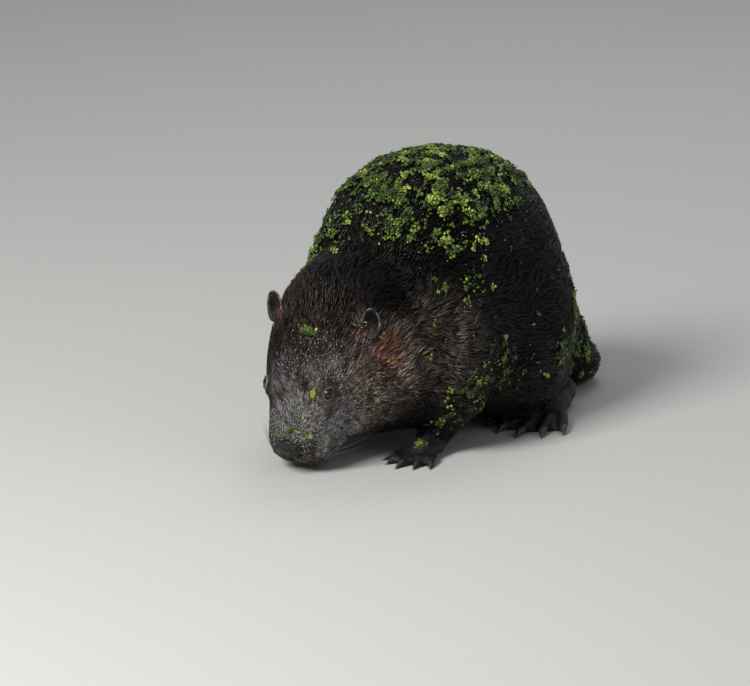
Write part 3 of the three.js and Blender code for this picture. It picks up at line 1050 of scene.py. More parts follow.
@dataclass(frozen=True)
class Blade:
    """The shape of the flat tail on the floor, in millimetres in the body's frame."""

    start: tuple[float, float] = (17, 230)
    first_way: tuple[float, float] = (-0.72, 0.694)
    last_way: tuple[float, float] = (-0.58, 0.815)
    length: float = 308
    width: float = 116
    thick_root: float = 25.5
    thick_tip: float = 8.5
    broadest: float = 0.45
    pressed: float = 1.5

    def middle(self, share: Array) -> Array:
        """Points on the middle line of the blade.

        Args:
            share: How far along the blade, 0 to 1.

        Returns:
            Rows of two millimetres each.
        """
        start = np.array(self.start)
        bend = start + np.array(self.first_way) * self.length / 2
        end = bend + np.array(self.last_way) * self.length / 2
        s = np.asarray(share)[..., None]
        return (1 - s) ** 2 * start + 2 * s * (1 - s) * bend + s**2 * end

    def across(self, share: Array) -> Array:
        """The way across the blade.

        Args:
            share: How far along the blade, 0 to 1.

        Returns:
            Rows of length one.
        """
        step = 0.001
        ahead = self.middle(np.asarray(share) + step) - self.middle(np.asarray(share) - step)
        ahead = ahead / np.linalg.norm(ahead, axis=-1, keepdims=True)
        return np.stack((-ahead[..., 1], ahead[..., 0]), axis=-1)

    def half(self, share: Array) -> Array:
        """Half the width of the blade: narrow root, parallel sides, round end.

        Args:
            share: How far along the blade, 0 to 1.

        Returns:
            Millimetres.
        """
        share = np.asarray(share)
        rootward = 1 - 0.3 * ((self.broadest - share) / self.broadest) ** 2
        beyond = np.clip((share - self.broadest) / (1 - self.broadest), 0, 1)
        tipward = np.sqrt(np.maximum(1 - beyond**3, 0))
        return self.width / 2 * np.where(share < self.broadest, rootward, tipward)

    def thickness(self, share: Array) -> Array:
        """The thickness of the blade along its middle."""
        return self.thick_root + (self.thick_tip - self.thick_root) * np.asarray(share)

    def surface(self, share: Array, offset: Array, top: bool) -> Array:
        """Points on the upper or lower face.

        Args:
            share: How far along the blade, 0 to 1.
            offset: How far across, -1 to 1 of half the width.
            top: Whether the upper face is meant.

        Returns:
            Rows of millimetres.
        """
        place = self.middle(share) + self.across(share) * (offset * self.half(share))[..., None]
        rise = np.sqrt(np.maximum(1 - np.asarray(offset) ** 2, 0)) * (1 if top else -1)
        height = self.thickness(share) / 2 * (1 + rise) - self.pressed
        return np.concatenate((place, np.maximum(height, 0)[..., None]), axis=-1)

    def solid(self, places: Places) -> Shape:
        """The blade as a closed shape.

        Args:
            places: Both frames.

        Returns:
            Points in metres, and triangles.
        """
        stations, spokes = 70, 44
        turn = full_turn(spokes)
        rings = []
        for i in range(stations):
            share = math.sin(math.pi / 2 * i / stations) ** 0.9
            ring = np.empty((spokes, 3))
            for chosen, top in ((turn < math.pi, True), (turn >= math.pi, False)):
                offset = np.cos(turn[chosen])
                ring[chosen] = self.surface(np.full(offset.shape, share), offset, top)
            rings.append(places.body.points(ring))
        return closed_tube(np.array(rings)[:, ::-1])


@dataclass
class TailScales(Growth):
    """Flat horny scales in staggered rows over both faces of the tail."""

    SLOT = "tail_scales"
    LAYERS = ((1.0, -0.35), (0.8, 0.42), (0.35, 0.62))

    places: Places
    skin_tree: BVHTree
    blade: Blade = Blade()
    pitch: float = 6.0
    first_row: float = 14.0
    row_step: float = 0.72
    edge: float = 0.93
    seed: int = 31

    def build(self) -> None:
        """Makes the plates of each face as one object."""
        for name, top in (("tail_scales_upper", True), ("tail_scales_lower", False)):
            self._face(name, top)

    def _face(self, name: str, top: bool) -> None:
        """Makes the plates of one face.

        Args:
            name: The object's name.
            top: Whether the upper face is meant.
        """
        rng = np.random.default_rng(self.seed + top)
        plates = []
        tones = []
        row = 0
        along = self.first_row
        while along < self.blade.length - 2:
            share = along / self.blade.length
            half = float(self.blade.half(np.array(share)))
            count = max(int(2 * half / self.pitch), 1)
            for i in range(count + row % 2):
                offset = (i + 0.5 - 0.5 * (row % 2)) / count * 2 - 1
                if abs(offset) <= self.edge:
                    plates.append(self._plate(share, offset, half, top, rng))
                    tones.append(np.full(len(plates[-1][0]), rng.uniform(0.5, 1.3)))
            along += self.pitch * self.row_step
            row += 1
        self.add(name, *merged(plates), tone=np.concatenate(tones))

    def _plate(self, share: float, offset: float, half: float, top: bool, rng: Chance) -> Shape:
        """One low six-sided plate.

        Args:
            share: How far along the blade, 0 to 1.
            offset: How far across, -1 to 1 of half the width.
            half: Half the width there.
            top: Whether it lies on the upper face.
            rng: The source of chance.

        Returns:
            Its points and its triangles.
        """
        angles = full_turn(6) + rng.uniform(-0.12, 0.12, 6)
        size = self.pitch / 2 * rng.uniform(0.9, 1.04)
        rim = np.column_stack((np.sin(angles) * size * 0.82, np.cos(angles) * size * 0.98))
        rows = []
        for scale, lift in self.LAYERS:
            shares = np.clip(share + rim[:, 0] * scale / self.blade.length, 0, 0.995)
            offsets = np.clip(offset + rim[:, 1] * scale / half, -0.99, 0.99)
            place = self.places.body.points(self.blade.surface(shares, offsets, top))
            rows.append(self._seated(place, lift * MM, top))
        points, faces = closed_tube(np.array(rows))
        return points, faces if top else faces[:, ::-1]

    def _seated(self, places: Array, lift: float, top: bool) -> Array:
        """Points set on the tail's skin, a little above it.

        Args:
            places: Rows of metres.
            lift: How far above it, in metres.
            top: Whether they belong to the upper face.

        Returns:
            The points moved.
        """
        way = Vector((0, 0, -1)) if top else Vector((0, 0, 1))
        start = 0.05 if top else -0.02
        seated = places.copy()
        for i, place in enumerate(places):
            hit, normal, _, _ = self.skin_tree.ray_cast(Vector((*place[:2], start)), way, 0.08)
            if hit is not None:
                seated[i] = hit + normal * lift
        seated[:, 2] = np.maximum(seated[:, 2], 0.0)
        return seated


# ---- skin

EAR_LEVEL = (-13, -7)
EAR_FUR = 0.55
NOSE_AT = (0, -123, -32)
MOUTH_AT = (0, -92, -63)
MOUTH_ACROSS = (0, -0.16, -1)
MOUTH_DEPTH = 2.6
CLEFT_DEPTH = 2.2
NOSE_SEAT = 3.0
MUZZLE_FOLD = 0.35
LID_THICKNESS = 0.85
LID_CREASE = 0.45


@dataclass(frozen=True)
class Eye:
    """Where one eyeball sits, and how big it is."""

    centre: Vector
    way: Vector
    rearward: Vector
    radius: float = 6.2

    @property
    def front(self) -> Vector:
        """The foremost point of the eye."""
        return self.centre + self.way * self.radius * MM


@dataclass(frozen=True)
class EarShape:
    """A small round ear: a cup with a rolled rim, open to the front and side."""

    half_width: float = 8.6
    half_height: float = 14.5
    middle: float = 11.5
    cup: float = 6.5
    wall: float = 1.8
    rim: float = 0.9
    root_depth: float = 3.0

    def shape(self, frame: Frame) -> Shape:
        """The ear as a closed shape.

        Args:
            frame: Its own frame: X across, -Y the way it faces, Z up its stem.

        Returns:
            Points in metres, and triangles.
        """
        around = full_turn(48)
        shares = np.linspace(0.06, 0.9, 12)
        rows = [self._row(share, around, self._depth(share, front=True)) for share in shares]
        for turn in np.linspace(0.25, 0.95, 6):
            bulge = self.rim / self.half_width * math.sin(turn * math.pi)
            depth = -self.cup * 0.9 + self.wall * (1 - math.cos(turn * math.pi)) / 2
            rows.append(self._row(0.92 + bulge, around, depth))
        rows += [self._row(share, around, self._depth(share, front=False)) for share in shares[::-1]]
        return closed_tube(np.array([frame.points(row) for row in rows]))

    def rim_highlight_and_hollow_shade(self, local: Array) -> Array:
        """The painted highlight on the wet rim of the ear, and the painted shade in its hollow.

        Args:
            local: Rows of millimetres in the ear's own frame.

        Returns:
            A share for each point: above zero a painted highlight, below zero painted shade.
        """
        share = np.hypot(local[:, 0] / self.half_width, (local[:, 2] - self.middle) / self.half_height)
        middle_depth = -self.cup * share**2 + 0.03 * local[:, 0] ** 2 + self.wall / 2
        # Painted shade fills the hollow; the painted highlight is strongest on the upper rim.
        hollow = (local[:, 1] < middle_depth) & (share < 0.8)
        upper = smooth_step((local[:, 2] - self.middle) / 12 + 0.7)
        patchy_highlight = np.clip(0.45 + 0.35 * waves(local, 7.0, 71), 0.1, 0.9)
        return np.where(hollow, -1.0, patchy_highlight * upper * smooth_step((share - 0.76) / 0.14))

    def _depth(self, share: float, front: bool) -> float:
        """How far back the hollow front or the full back lies at a share of the outline."""
        fold = 0.9 * math.exp(-(((share - 0.62) / 0.12) ** 2)) if front else 0.0
        return -self.cup * share**2 + (0 if front else self.wall) - fold

    def _row(self, share: float, around: Array, depth: float) -> Array:
        """A ring at a share of the ear's outline and a depth.

        Args:
            share: Its size, as a share of the ear's outline.
            around: The angles of its points.
            depth: How far back it lies.

        Returns:
            Rows of millimetres.
        """
        across = self.half_width * share * np.cos(around)
        up = self.middle + self.half_height * share * np.sin(around)
        curl = 0.028 * across**2
        return np.column_stack((across, depth + curl, up))


@dataclass
class Skin:
    """One skin over all the flesh, sunk by the depth of the coat, with lids, lips, ears and folds."""

    places: Places
    voxel: float = 0.0027
    swell: float = 0.0006
    blade: Blade = Blade()
    ear: EarShape = EarShape()
    made: Piece | None = None
    tree: BVHTree | None = None
    eyes: dict[str, Eye] = field(default_factory=dict)
    depth: Array | None = None
    # Painted light on the skin: above zero a painted highlight on wet rims, below zero painted shade in the
    # ear's hollow.
    edge: Array | None = None
    tail: Array | None = None
    ear_roots: list[Vector] = field(default_factory=list)

    FLESH: ClassVar[dict[str, float]] = {
        "trunk": 6.5,
        "neck": 6.0,
        "head": 3.0,
        "jaw": 2.0,
        "tail_base": 4.2,
        "thigh": 6.5,
        "shank": 4.0,
        "upper_arm": 5.5,
        "forearm": 2.2,
        "hand": 0.0,
        "foot": 0.0,
        "eye": 2.0,
        "nose": 0.6,
    }
    EASING: ClassVar[dict[str, int]] = {"hand": 3, "foot": 3, "head": 16, "jaw": 16, "eye": 16, "nose": 10}

    def build(self, nodes: dict[str, Piece]) -> None:
        """Wraps the flesh and shapes its surface.

        Args:
            nodes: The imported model's nodes by name.
        """
        copies = []
        kinds = []
        for name, node in sorted(nodes.items()):
            kind = name.removesuffix("_left").removesuffix("_right")
            if kind in self.FLESH:
                copies.append(self._copy(node))
                kinds.append(kind)
        copies.append(mesh_object("blade", *self.blade.solid(self.places)))
        kinds.append("tail_paddle")
        faces = [len(copy.data.polygons) for copy in copies]
        self.made = join(copies, "skin")
        flesh = BVHTree.FromObject(self.made, bpy.context.evaluated_depsgraph_get())
        owner = np.repeat(np.arange(len(kinds)), faces)
        apply(self.made, "DISPLACE", strength=self.swell, mid_level=0.0)
        apply(self.made, "REMESH", mode="VOXEL", voxel_size=self.voxel)
        self._find_eyes()
        self._refine()
        self._sink(flesh, kinds, owner)
        self._shape_head()
        self._grow_ears(flesh)
        self.tree = BVHTree.FromObject(self.made, bpy.context.evaluated_depsgraph_get())
        LOG.info("skin: %d faces", len(self.made.data.polygons))

    @staticmethod
    def _copy(node: Piece) -> Piece:
        """A copy of a node with its loose triangles merged.

        Args:
            node: The node.

        Returns:
            The copy.
        """
        made = bpy.data.objects.new("flesh_" + node.name, node.data.copy())
        made.data.materials.clear()
        bpy.context.scene.collection.objects.link(made)
        edit_all(made, bpy.ops.mesh.remove_doubles, threshold=1e-5)
        return made

    def _find_eyes(self) -> None:
        """Sets each eye from the model's own eyeball, turned a little up and forward."""
        for name in SIDES:
            low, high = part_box(f"eye_{name}")
            centre = (low + high) / 2
            outward = self.places.head.way(SIDES[name] * 0.74, -0.24, 0.62)
            self.eyes[name] = Eye(centre + outward * 0.6 * MM, outward, self.places.head.way(0, 1, 0))

    def _refine(self) -> None:
        """Divides the faces round the eyes and over the muzzle, where small forms need them."""
        muzzle = self.places.head.point(0, -118, -50)
        rounds = [(muzzle, 0.036), (muzzle, 0.03)]
        for eye in self.eyes.values():
            rounds += [(eye.centre, 0.015), (eye.centre, 0.012), (eye.centre, 0.0095)]
        for centre, reach in rounds:
            only(self.made)
            polygons = self.made.data.polygons
            near = distances(rows_of(polygons, "center"), centre) < reach
            bpy.ops.object.mode_set(mode="EDIT")
            bpy.ops.mesh.select_mode(type="FACE")
            bpy.ops.mesh.select_all(action="DESELECT")
            bpy.ops.object.mode_set(mode="OBJECT")
            polygons.foreach_set("select", near)
            bpy.ops.object.mode_set(mode="EDIT")
            bpy.ops.mesh.subdivide(number_cuts=1)
            bpy.ops.object.mode_set(mode="OBJECT")

    def _sink(self, flesh: BVHTree, kinds: list[str], owner: Array) -> None:
        """Smooths the facets away and lowers the skin by the depth of the coat.

        Args:
            flesh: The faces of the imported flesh.
            kinds: The kind of each copied node.
            owner: Which copy each face of the flesh belongs to.
        """
        points = points_of(self.made)
        nearest = [owner[flesh.find_nearest(Vector(p))[2]] for p in points]
        names = np.array(kinds)[nearest]
        head = self.places.head.local(points)
        depth = np.array([self.FLESH.get(name, 0.0) for name in names])
        on_head = np.isin(names, ("head", "jaw", "eye"))
        depth[on_head] = np.interp(head[on_head, 1], (-130, -112, -80, -40, 0), (1.1, 1.3, 2.1, 3.2, 5.5))
        web = Web(self.made)
        easing = np.array([self.EASING.get(name, 60) for name in names], float)
        easing[names == "tail_paddle"] = 2
        points = web.relaxed(points, web.eased(easing, 8))
        self.tail = web.eased((names == "tail_paddle").astype(float), 4)
        depth = web.eased(depth, 14)
        depth[np.isin(names, ("hand", "foot", "tail_paddle"))] *= 0.3
        move_points(self.made, points)
        points -= normals_of(self.made) * (depth * MM + self.swell)[:, None]
        points = web.relaxed(points, np.where(depth > 1, 6.0, 0.0))
        points[:, 2] = np.maximum(points[:, 2], np.where(self.tail > 0.5, 0.0007, 0.0))
        move_points(self.made, points)
        self.depth = depth

    def _shape_head(self) -> None:
        """Models lids round the eyes, the mouth, the cleft lip and the folds of the muzzle."""
        points = points_of(self.made)
        self.edge = np.zeros(len(points))
        for eye in self.eyes.values():
            points = self._lids(points, eye)
        move_points(self.made, points)
        local = self.places.head.local(points)
        fore = smooth_step((-local[:, 1] - 62) / 20)
        gap = (local - np.array(MOUTH_AT)) @ unit(np.array([MOUTH_ACROSS]))[0]
        groove = MOUTH_DEPTH * bell(gap, 1.3) * fore
        under_nose = smooth_step((-local[:, 1] - 112) / 8) * smooth_step((-local[:, 2] - 36) / 6)
        groove += CLEFT_DEPTH * bell(local[:, 0], 1.4) * under_nose * (gap < 1)
        folds = MUZZLE_FOLD * np.sin(local[:, 2] * 0.9 + local[:, 1] * 0.35)
        folds *= smooth_step((-local[:, 1] - 96) / 12)
        away = np.linalg.norm((local - np.array(NOSE_AT)) / np.array((16, 12, 12)), axis=1)
        groove += NOSE_SEAT * smooth_step(1.15 - away)
        points -= normals_of(self.made) * ((groove + folds * (groove < 0.3)) * MM)[:, None]
        move_points(self.made, points)

    def _lids(self, points: Array, eye: Eye) -> Array:
        """Raises the skin round an eye into two lids, sinks it behind the eyeball, and paints a highlight on
        the lids' margins.

        Args:
            points: The skin's points.
            eye: The eye.

        Returns:
            The points with the lids shaped.
        """
        opening, margin, outer = 4.2, 5.4, 13.0
        axis = np.array(eye.way)
        offset = (points - np.array(eye.centre)) / MM
        height = offset @ axis
        flat = offset - height[:, None] * axis
        rearward = np.array(eye.rearward)
        along = unit((rearward - axis * (axis @ rearward))[None])[0]
        wide = flat @ along
        tall = flat @ np.cross(axis, along)
        radius = np.hypot(wide / 1.16, tall / (0.86 - 0.2 * smooth_step(wide / 6))) + 1e-9
        near = (radius < outer) & (height > -4)
        ball = np.sqrt(np.maximum(eye.radius**2 - radius**2, 1.0))
        lid = np.sqrt(np.maximum((eye.radius + LID_THICKNESS) ** 2 - np.minimum(radius, 6.0) ** 2, 1.0))
        rise = smooth_step((radius - opening) / (margin - opening) * 2.2)
        target = np.where(radius < opening, ball - 2.0, lid)
        on_margin = (radius >= opening) & (radius < margin)
        target = np.where(on_margin, (ball - 0.6) * (1 - rise) + lid * rise, target)
        keep = smooth_step((radius - margin) / (outer - margin))
        goal = target * (1 - keep) + height * keep - LID_CREASE * bell(radius - 7.6, 0.6)
        # Painted highlight: a pale wet ring on the lid margins, stronger towards one side of the eye.
        wet = bell(radius - margin, 0.5) * near
        self.edge = np.maximum(self.edge, wet * (0.1 + 0.3 * smooth_step(0.5 - tall / 6)))
        shaped = points.copy()
        shaped[near] += (axis * ((goal - height) * MM)[:, None])[near]
        return shaped

    def _grow_ears(self, flesh: BVHTree) -> None:
        """Joins both ears to the skin.

        Args:
            flesh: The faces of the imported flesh.
        """
        pieces = [self.made]
        grown = 0
        head = self.places.head
        for side in SIDES.values():
            outside = head.point(side * 120, *EAR_LEVEL)
            hit, _, _, _ = flesh.ray_cast(outside, head.way(-side, 0, 0), 0.2)
            stem = head.way(side * -0.02, 0.72, 0.67)
            facing = head.way(side * 0.25, -0.6, 0.76)
            across = -facing.cross(stem).normalized()
            back = stem.cross(across)
            root = hit - head.way(side, 0, 0) * self.ear.root_depth * MM
            self.ear_roots.append(hit)
            turn = Matrix((across, back, stem)).transposed().to_4x4()
            frame = Frame(Matrix.Translation(root) @ turn @ Matrix.Scale(MM, 4))
            shape = self.ear.shape(frame)
            pieces.append(mesh_object("ear", *shape))
            self.edge = np.concatenate((self.edge, self.ear.rim_highlight_and_hollow_shade(frame.local(shape[0]))))
            edit_all(pieces[-1], bpy.ops.mesh.normals_make_consistent, inside=False)
            grown += len(pieces[-1].data.vertices)
        join(pieces, "skin")
        self.depth = np.concatenate((self.depth, np.full(grown, EAR_FUR)))
        self.tail = np.concatenate((self.tail, np.zeros(grown)))

    def dress(self, finish: bpy.types.Material, nodes: dict[str, Piece]) -> None:
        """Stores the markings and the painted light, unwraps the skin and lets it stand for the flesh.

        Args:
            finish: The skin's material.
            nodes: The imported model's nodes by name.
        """
        points = points_of(self.made)
        for name, values in MARKINGS_AND_SHEEN.weights(self.places, points).items():
            put_values(self.made, name, values)
        put_values(self.made, "furred", smooth_step((self.depth - 0.5) / 0.8))
        put_values(self.made, "tail", self.tail)
        # Stores the painted highlight on wet rims and the painted shade in the ear's hollow.
        put_values(self.made, "edge", self.edge)
        self.made.data.shade_smooth()
        angle = math.radians(66)
        edit_all(self.made, bpy.ops.uv.smart_project, angle_limit=angle, island_margin=0.002)
        flesh = [name for name in sorted(nodes) if not name.startswith(("eye", "nose"))]
        put_on(self.made, finish, "skin", *flesh)


class Web:
    """The edges of a mesh, for smoothing along its surface."""

    def __init__(self, target: Piece) -> None:
        """Reads the edges of an object.

        Args:
            target: The object.
        """
        pairs = np.empty(2 * len(target.data.edges), np.int32)
        target.data.edges.foreach_get("vertices", pairs)
        pairs = pairs.reshape(-1, 2)
        self.here = np.concatenate((pairs[:, 0], pairs[:, 1]))
        self.there = np.concatenate((pairs[:, 1], pairs[:, 0]))
        self.count = len(target.data.vertices)
        self.ties = np.maximum(np.bincount(self.here, minlength=self.count), 1)

    def average(self, values: Array) -> Array:
        """The mean of each vertex's neighbours."""
        return np.bincount(self.here, values[self.there], self.count) / self.ties

    def eased(self, values: Array, rounds: int) -> Array:
        """Values averaged with their neighbours.

        Args:
            values: One for each vertex.
            rounds: How many times.

        Returns:
            The averaged values.
        """
        for _ in range(rounds):
            values = 0.4 * values + 0.6 * self.average(values)
        return values

    def relaxed(self, points: Array, rounds: Array) -> Array:
        """Points smoothed, each for its own number of rounds, with little loss of volume.

        Args:
            points: Rows of metres.
            rounds: A number of rounds for each point.

        Returns:
            The smoothed points.
        """
        points = points.copy()
        for turn in range(int(rounds.max())):
            going = np.clip(rounds - turn, 0.0, 1.0)[:, None]
            for pull in (0.55, -0.5):
                mean = np.column_stack([self.average(points[:, axis]) for axis in range(3)])
                points += going * pull * (mean - points)
        return points


# ---- coat


@dataclass
class Roots:
    """Places on the skin from which something grows."""

    points: Array
    normals: Array
    broad: Array
    depth: Array
    uv: Array

    def chosen(self, mask: Array) -> "Roots":
        """Some of the roots."""
        return Roots(self.points[mask], self.normals[mask], self.broad[mask], self.depth[mask], self.uv[mask])


class Ground:
    """The skin's triangles, from which roots are drawn."""

    def __init__(self, skin: Skin) -> None:
        """Reads the finished skin.

        Args:
            skin: The skin.
        """
        mesh = skin.made.data
        mesh.calc_loop_triangles()
        total = len(mesh.loop_triangles)
        corners = np.empty(3 * total, np.int32)
        mesh.loop_triangles.foreach_get("loops", corners)
        vertices = np.empty(3 * total, np.int32)
        mesh.loop_triangles.foreach_get("vertices", vertices)
        uv = np.empty(2 * len(mesh.loops), np.float32)
        mesh.uv_layers.active.data.foreach_get("uv", uv)
        self.vertices = vertices.reshape(-1, 3)
        self.uv = uv.reshape(-1, 2)[corners.reshape(-1, 3)]
        self.points = points_of(skin.made)
        self.normals = normals_of(skin.made)
        web = Web(skin.made)
        self.broad = unit(np.column_stack([web.eased(self.normals[:, axis], 40) for axis in range(3)]))
        self.depth = skin.depth
        a, b, c = (self.points[self.vertices[:, i]] for i in range(3))
        self.area = np.linalg.norm(np.cross(b - a, c - a), axis=1) / 2

    def middles(self) -> Array:
        """The middle of each triangle."""
        return self.points[self.vertices].mean(axis=1)

    def draw(self, count: int, density: Array, rng: Chance) -> Roots:
        """Draws roots evenly, more where the density is higher.

        Args:
            count: How many.
            density: A weight for each triangle.
            rng: The source of chance.

        Returns:
            The roots.
        """
        running = np.cumsum(self.area * density)
        marks = (np.arange(count) + rng.uniform(0, 1, count)) / count * running[-1]
        index = np.minimum(np.searchsorted(running, marks), len(running) - 1)
        first, second = rng.uniform(0, 1, (2, count))
        folded = first + second > 1
        first[folded], second[folded] = 1 - first[folded], 1 - second[folded]
        shares = np.column_stack((1 - first - second, first, second))[:, :, None]
        corners = self.vertices[index]
        depth = (self.depth[corners] * shares[:, :, 0]).sum(axis=1)
        points = (self.points[corners] * shares).sum(axis=1)
        normals = unit((self.normals[corners] * shares).sum(axis=1))
        broad = unit((self.broad[corners] * shares).sum(axis=1))
        return Roots(points, normals, broad, depth, (self.uv[index] * shares).sum(axis=1))


def laid(points: Array, heights: Array, hide: BVHTree) -> Array:
    """Points brought to their own heights over the skin, so that tufts follow its curves.

    Args:
        points: Rows of metres.
        heights: How high each may lie.
        hide: The skin.

    Returns:
        The points moved.
    """
    near = [hide.find_nearest(Vector(point)) for point in points]
    feet = np.array([hit[0] for hit in near])
    normals = np.array([hit[1] for hit in near])
    away = points - feet
    above = np.sum(away * normals, axis=1)
    reach = np.maximum(np.linalg.norm(away, axis=1), 1e-9)
    lowered = feet + away * np.minimum(heights / reach, 1.0)[:, None]
    raised = feet + normals * (0.6 * heights)[:, None]
    return np.where((above < 0)[:, None], raised, lowered)


@dataclass(frozen=True)
class Cut:
    """The build of one kind of tuft."""

    rings: tuple[tuple[float, float], ...]
    slenderness: float
    gather: float
    spacing: float


GUARD = Cut(rings=((0.0, 0.85), (0.5, 1.0)), slenderness=0.038, gather=0.8, spacing=11.0)
FINE = Cut(rings=((0.0, 0.8), (0.5, 0.95)), slenderness=0.064, gather=0.5, spacing=8.0)


@dataclass
class Coat(Growth):
    """The wet fur: thin pointed tufts that lie along the body and gather in clumps."""

    places: Places
    guard_count: int = 93000
    fine_count: int = 60000
    length_per_depth: float = 3.2
    piece_limit: int = 190000
    patch: float = 0.003
    bare_round_eye: float = 0.0078
    bare_round_nose: Triple = (13.0, 9.5, 9.0)
    seed: int = 7

    def build(self, ground: Ground, skin: Skin) -> None:
        """Grows the long coat of the body and the short coat of the face and limbs.

        Args:
            ground: The skin's triangles.
            skin: The skin, whose eyes are kept clear.
        """
        rng = np.random.default_rng(self.seed)
        depth = ground.depth[ground.vertices].mean(axis=1)
        middles = ground.middles()
        clear = np.ones(len(middles))
        for eye in skin.eyes.values():
            clear *= distances(middles, eye.front) > self.bare_round_eye
        from_nose = self.places.head.local(middles) - np.array(NOSE_AT)
        from_nose = from_nose / np.array(self.bare_round_nose)
        clear *= np.linalg.norm(from_nose, axis=1) > 1.0
        long_share = smooth_step((depth - 3.0) / 1.6) * clear
        short_share = (1 - smooth_step((depth - 3.0) / 1.6)) * clear * (depth > 0.45)
        short_share /= np.maximum(depth, 0.9) ** 0.8
        guard = ground.draw(self.guard_count, long_share, rng)
        fine = ground.draw(self.fine_count, short_share, rng)
        self._grow("coat_body", guard, GUARD, rng, skin)
        self._grow("coat_short", fine, FINE, rng, skin)

    def _grow(self, name: str, roots: Roots, cut: Cut, rng: Chance, skin: Skin) -> None:
        """Makes the tufts of one kind, in pieces small enough for the export.

        Args:
            name: The start of each piece's name.
            roots: Where the tufts stand.
            cut: Their build.
            rng: The source of chance.
            skin: The skin, near whose eyes and ears the tufts are shorter.
        """
        eyes = list(skin.eyes.values())
        for place, clear in [(eye.front, 0.005) for eye in eyes] + [(root, 0.002) for root in skin.ear_roots]:
            shortened = np.clip((distances(roots.points, place) - clear) / 0.012, 0.3, 1.0)
            roots.depth = roots.depth * shortened
        count = len(roots.points)
        ways = Lie().ways(self.places, roots.points, roots.broad, eyes)
        length = roots.depth * self.length_per_depth * rng.uniform(0.75, 1.25, count) * MM
        lift = roots.depth * rng.uniform(0.5, 1.05, count) ** 1.2 * MM
        width = np.maximum(length, 3.2 * MM) * cut.slenderness * rng.uniform(0.7, 1.3, count)
        pull = self._gathering(roots, cut, rng)
        points = self._curves(roots, ways, length, lift, width, pull, cut, skin.tree)
        order = np.argsort(roots.points[:, 1], kind="stable")
        faces = self._faces(len(cut.rings))
        share = math.ceil(count * len(faces) / self.piece_limit)
        tone = self._tones(roots, rng)
        marks = MARKINGS_AND_SHEEN.weights(self.places, roots.points)
        along = [start for start, _ in cut.rings for _ in range(3)] + [1.0]
        for number, group in enumerate(np.array_split(order, share), 1):
            values = {"along": np.tile(along, len(group)), "tone": np.repeat(tone[group], points.shape[1])}
            for mark, weights in marks.items():
                values[mark] = np.repeat(weights[group], points.shape[1])
            triangles = repeated(points[0], faces, len(group))
            piece = self.add(f"{name}_{number:02d}", points[group].reshape(-1, 3), triangles, **values)
            self._unwrap(piece, roots.uv[group], faces, cut)

    def _gathering(self, roots: Roots, cut: Cut, rng: Chance) -> Array:
        """How far each tuft's tip leans towards the middle of its clump.

        Args:
            roots: Where the tufts stand.
            cut: Their build.
            rng: The source of chance.

        Returns:
            A row of metres for each tuft.
        """
        count = len(roots.points)
        leaders = rng.choice(count, int(count / cut.spacing), replace=False)
        tree = KDTree(len(leaders))
        for i, leader in enumerate(leaders):
            tree.insert(roots.points[leader], i)
        tree.balance()
        nearest = np.array([leaders[tree.find(p)[1]] for p in roots.points])
        pull = roots.points[nearest] - roots.points
        reach = roots.depth * 1.5 * MM
        fade = 1 - smooth_step(np.linalg.norm(pull, axis=1) / np.maximum(reach, 1e-6) - 0.7)
        return pull * (fade * cut.gather * rng.uniform(0.6, 1.15, count))[:, None]

    @staticmethod
    def _tones(roots: Roots, rng: Chance) -> Array:
        """A light or dark tone for each tuft, alike within a clump, with a few pale tufts as painted sheen.

        Args:
            roots: Where the tufts stand.
            rng: The source of chance.

        Returns:
            A tone from 0 to 1 for each tuft.
        """
        broad = waves(roots.points, 0.03, 21) * 0.08 + waves(roots.points, 0.007, 22) * 0.12
        # Painted sheen: about one tuft in seven made pale, like the shine along wet hair.
        sheen_streaks = 0.55 * (rng.uniform(0, 1, len(roots.points)) > 0.86)
        return np.clip(0.25 + broad + sheen_streaks + rng.normal(0, 0.14, len(roots.points)), 0.0, 1.0)

    @staticmethod
    def _curves(
        roots: Roots, ways: Array, length: Array, lift: Array, width: Array, pull: Array,
        cut: Cut, hide: BVHTree,
    ) -> Array:
        """The points of every tuft: rings of three, low and wide, and a tip.

        Args:
            roots: Where the tufts stand.
            ways: The way each lies.
            length: Its length.
            lift: The height of its tip over the skin.
            width: Half its width.
            pull: How far its tip leans.
            cut: Its build.
            hide: The skin that the tufts follow.

        Returns:
            Tufts by points by three coordinates.
        """
        side = unit(np.cross(ways, roots.broad))
        bend = 0.16 * waves(roots.points, 0.012, 23)

        def spine(share: float) -> Array:
            """The middle of every tuft at a share of its length.

            Args:
                share: How far along the tuft, 0 to 1.

            Returns:
                Rows of metres.
            """
            rise = 1 - (1 - share) ** 2
            ahead = ways * (length * share)[:, None]
            up = roots.normals * (lift * rise - 0.0004 * (1 - share))[:, None]
            lean = side * (bend * length * share**2)[:, None]
            free = roots.points + ahead + up + lean + pull * share**1.5
            return laid(free, lift * rise, hide) if share > 0 else free

        rows = []
        for share, fullness in cut.rings:
            middle = spine(share)
            half = (width * fullness)[:, None]
            ridge = roots.normals * half * 0.75
            rows += [middle - side * half, middle + side * half, middle + ridge]
        rows.append(spine(1.0))
        tufts = np.stack(rows, axis=1)
        tufts[:, :, 2] = np.maximum(tufts[:, :, 2], 0.0002)
        return tufts

    @staticmethod
    def _faces(rings: int) -> Array:
        """The triangles of one tuft.

        Args:
            rings: How many rings it has below its tip.

        Returns:
            Rows of three point numbers.
        """
        sides = rows_to_triangles(rings, 3)[:, ::-1]
        last = 3 * (rings - 1)
        tip = [[last + (i + 1) % 3, last + i, 3 * rings] for i in range(3)]
        return np.vstack((sides, tip))[:, ::-1]

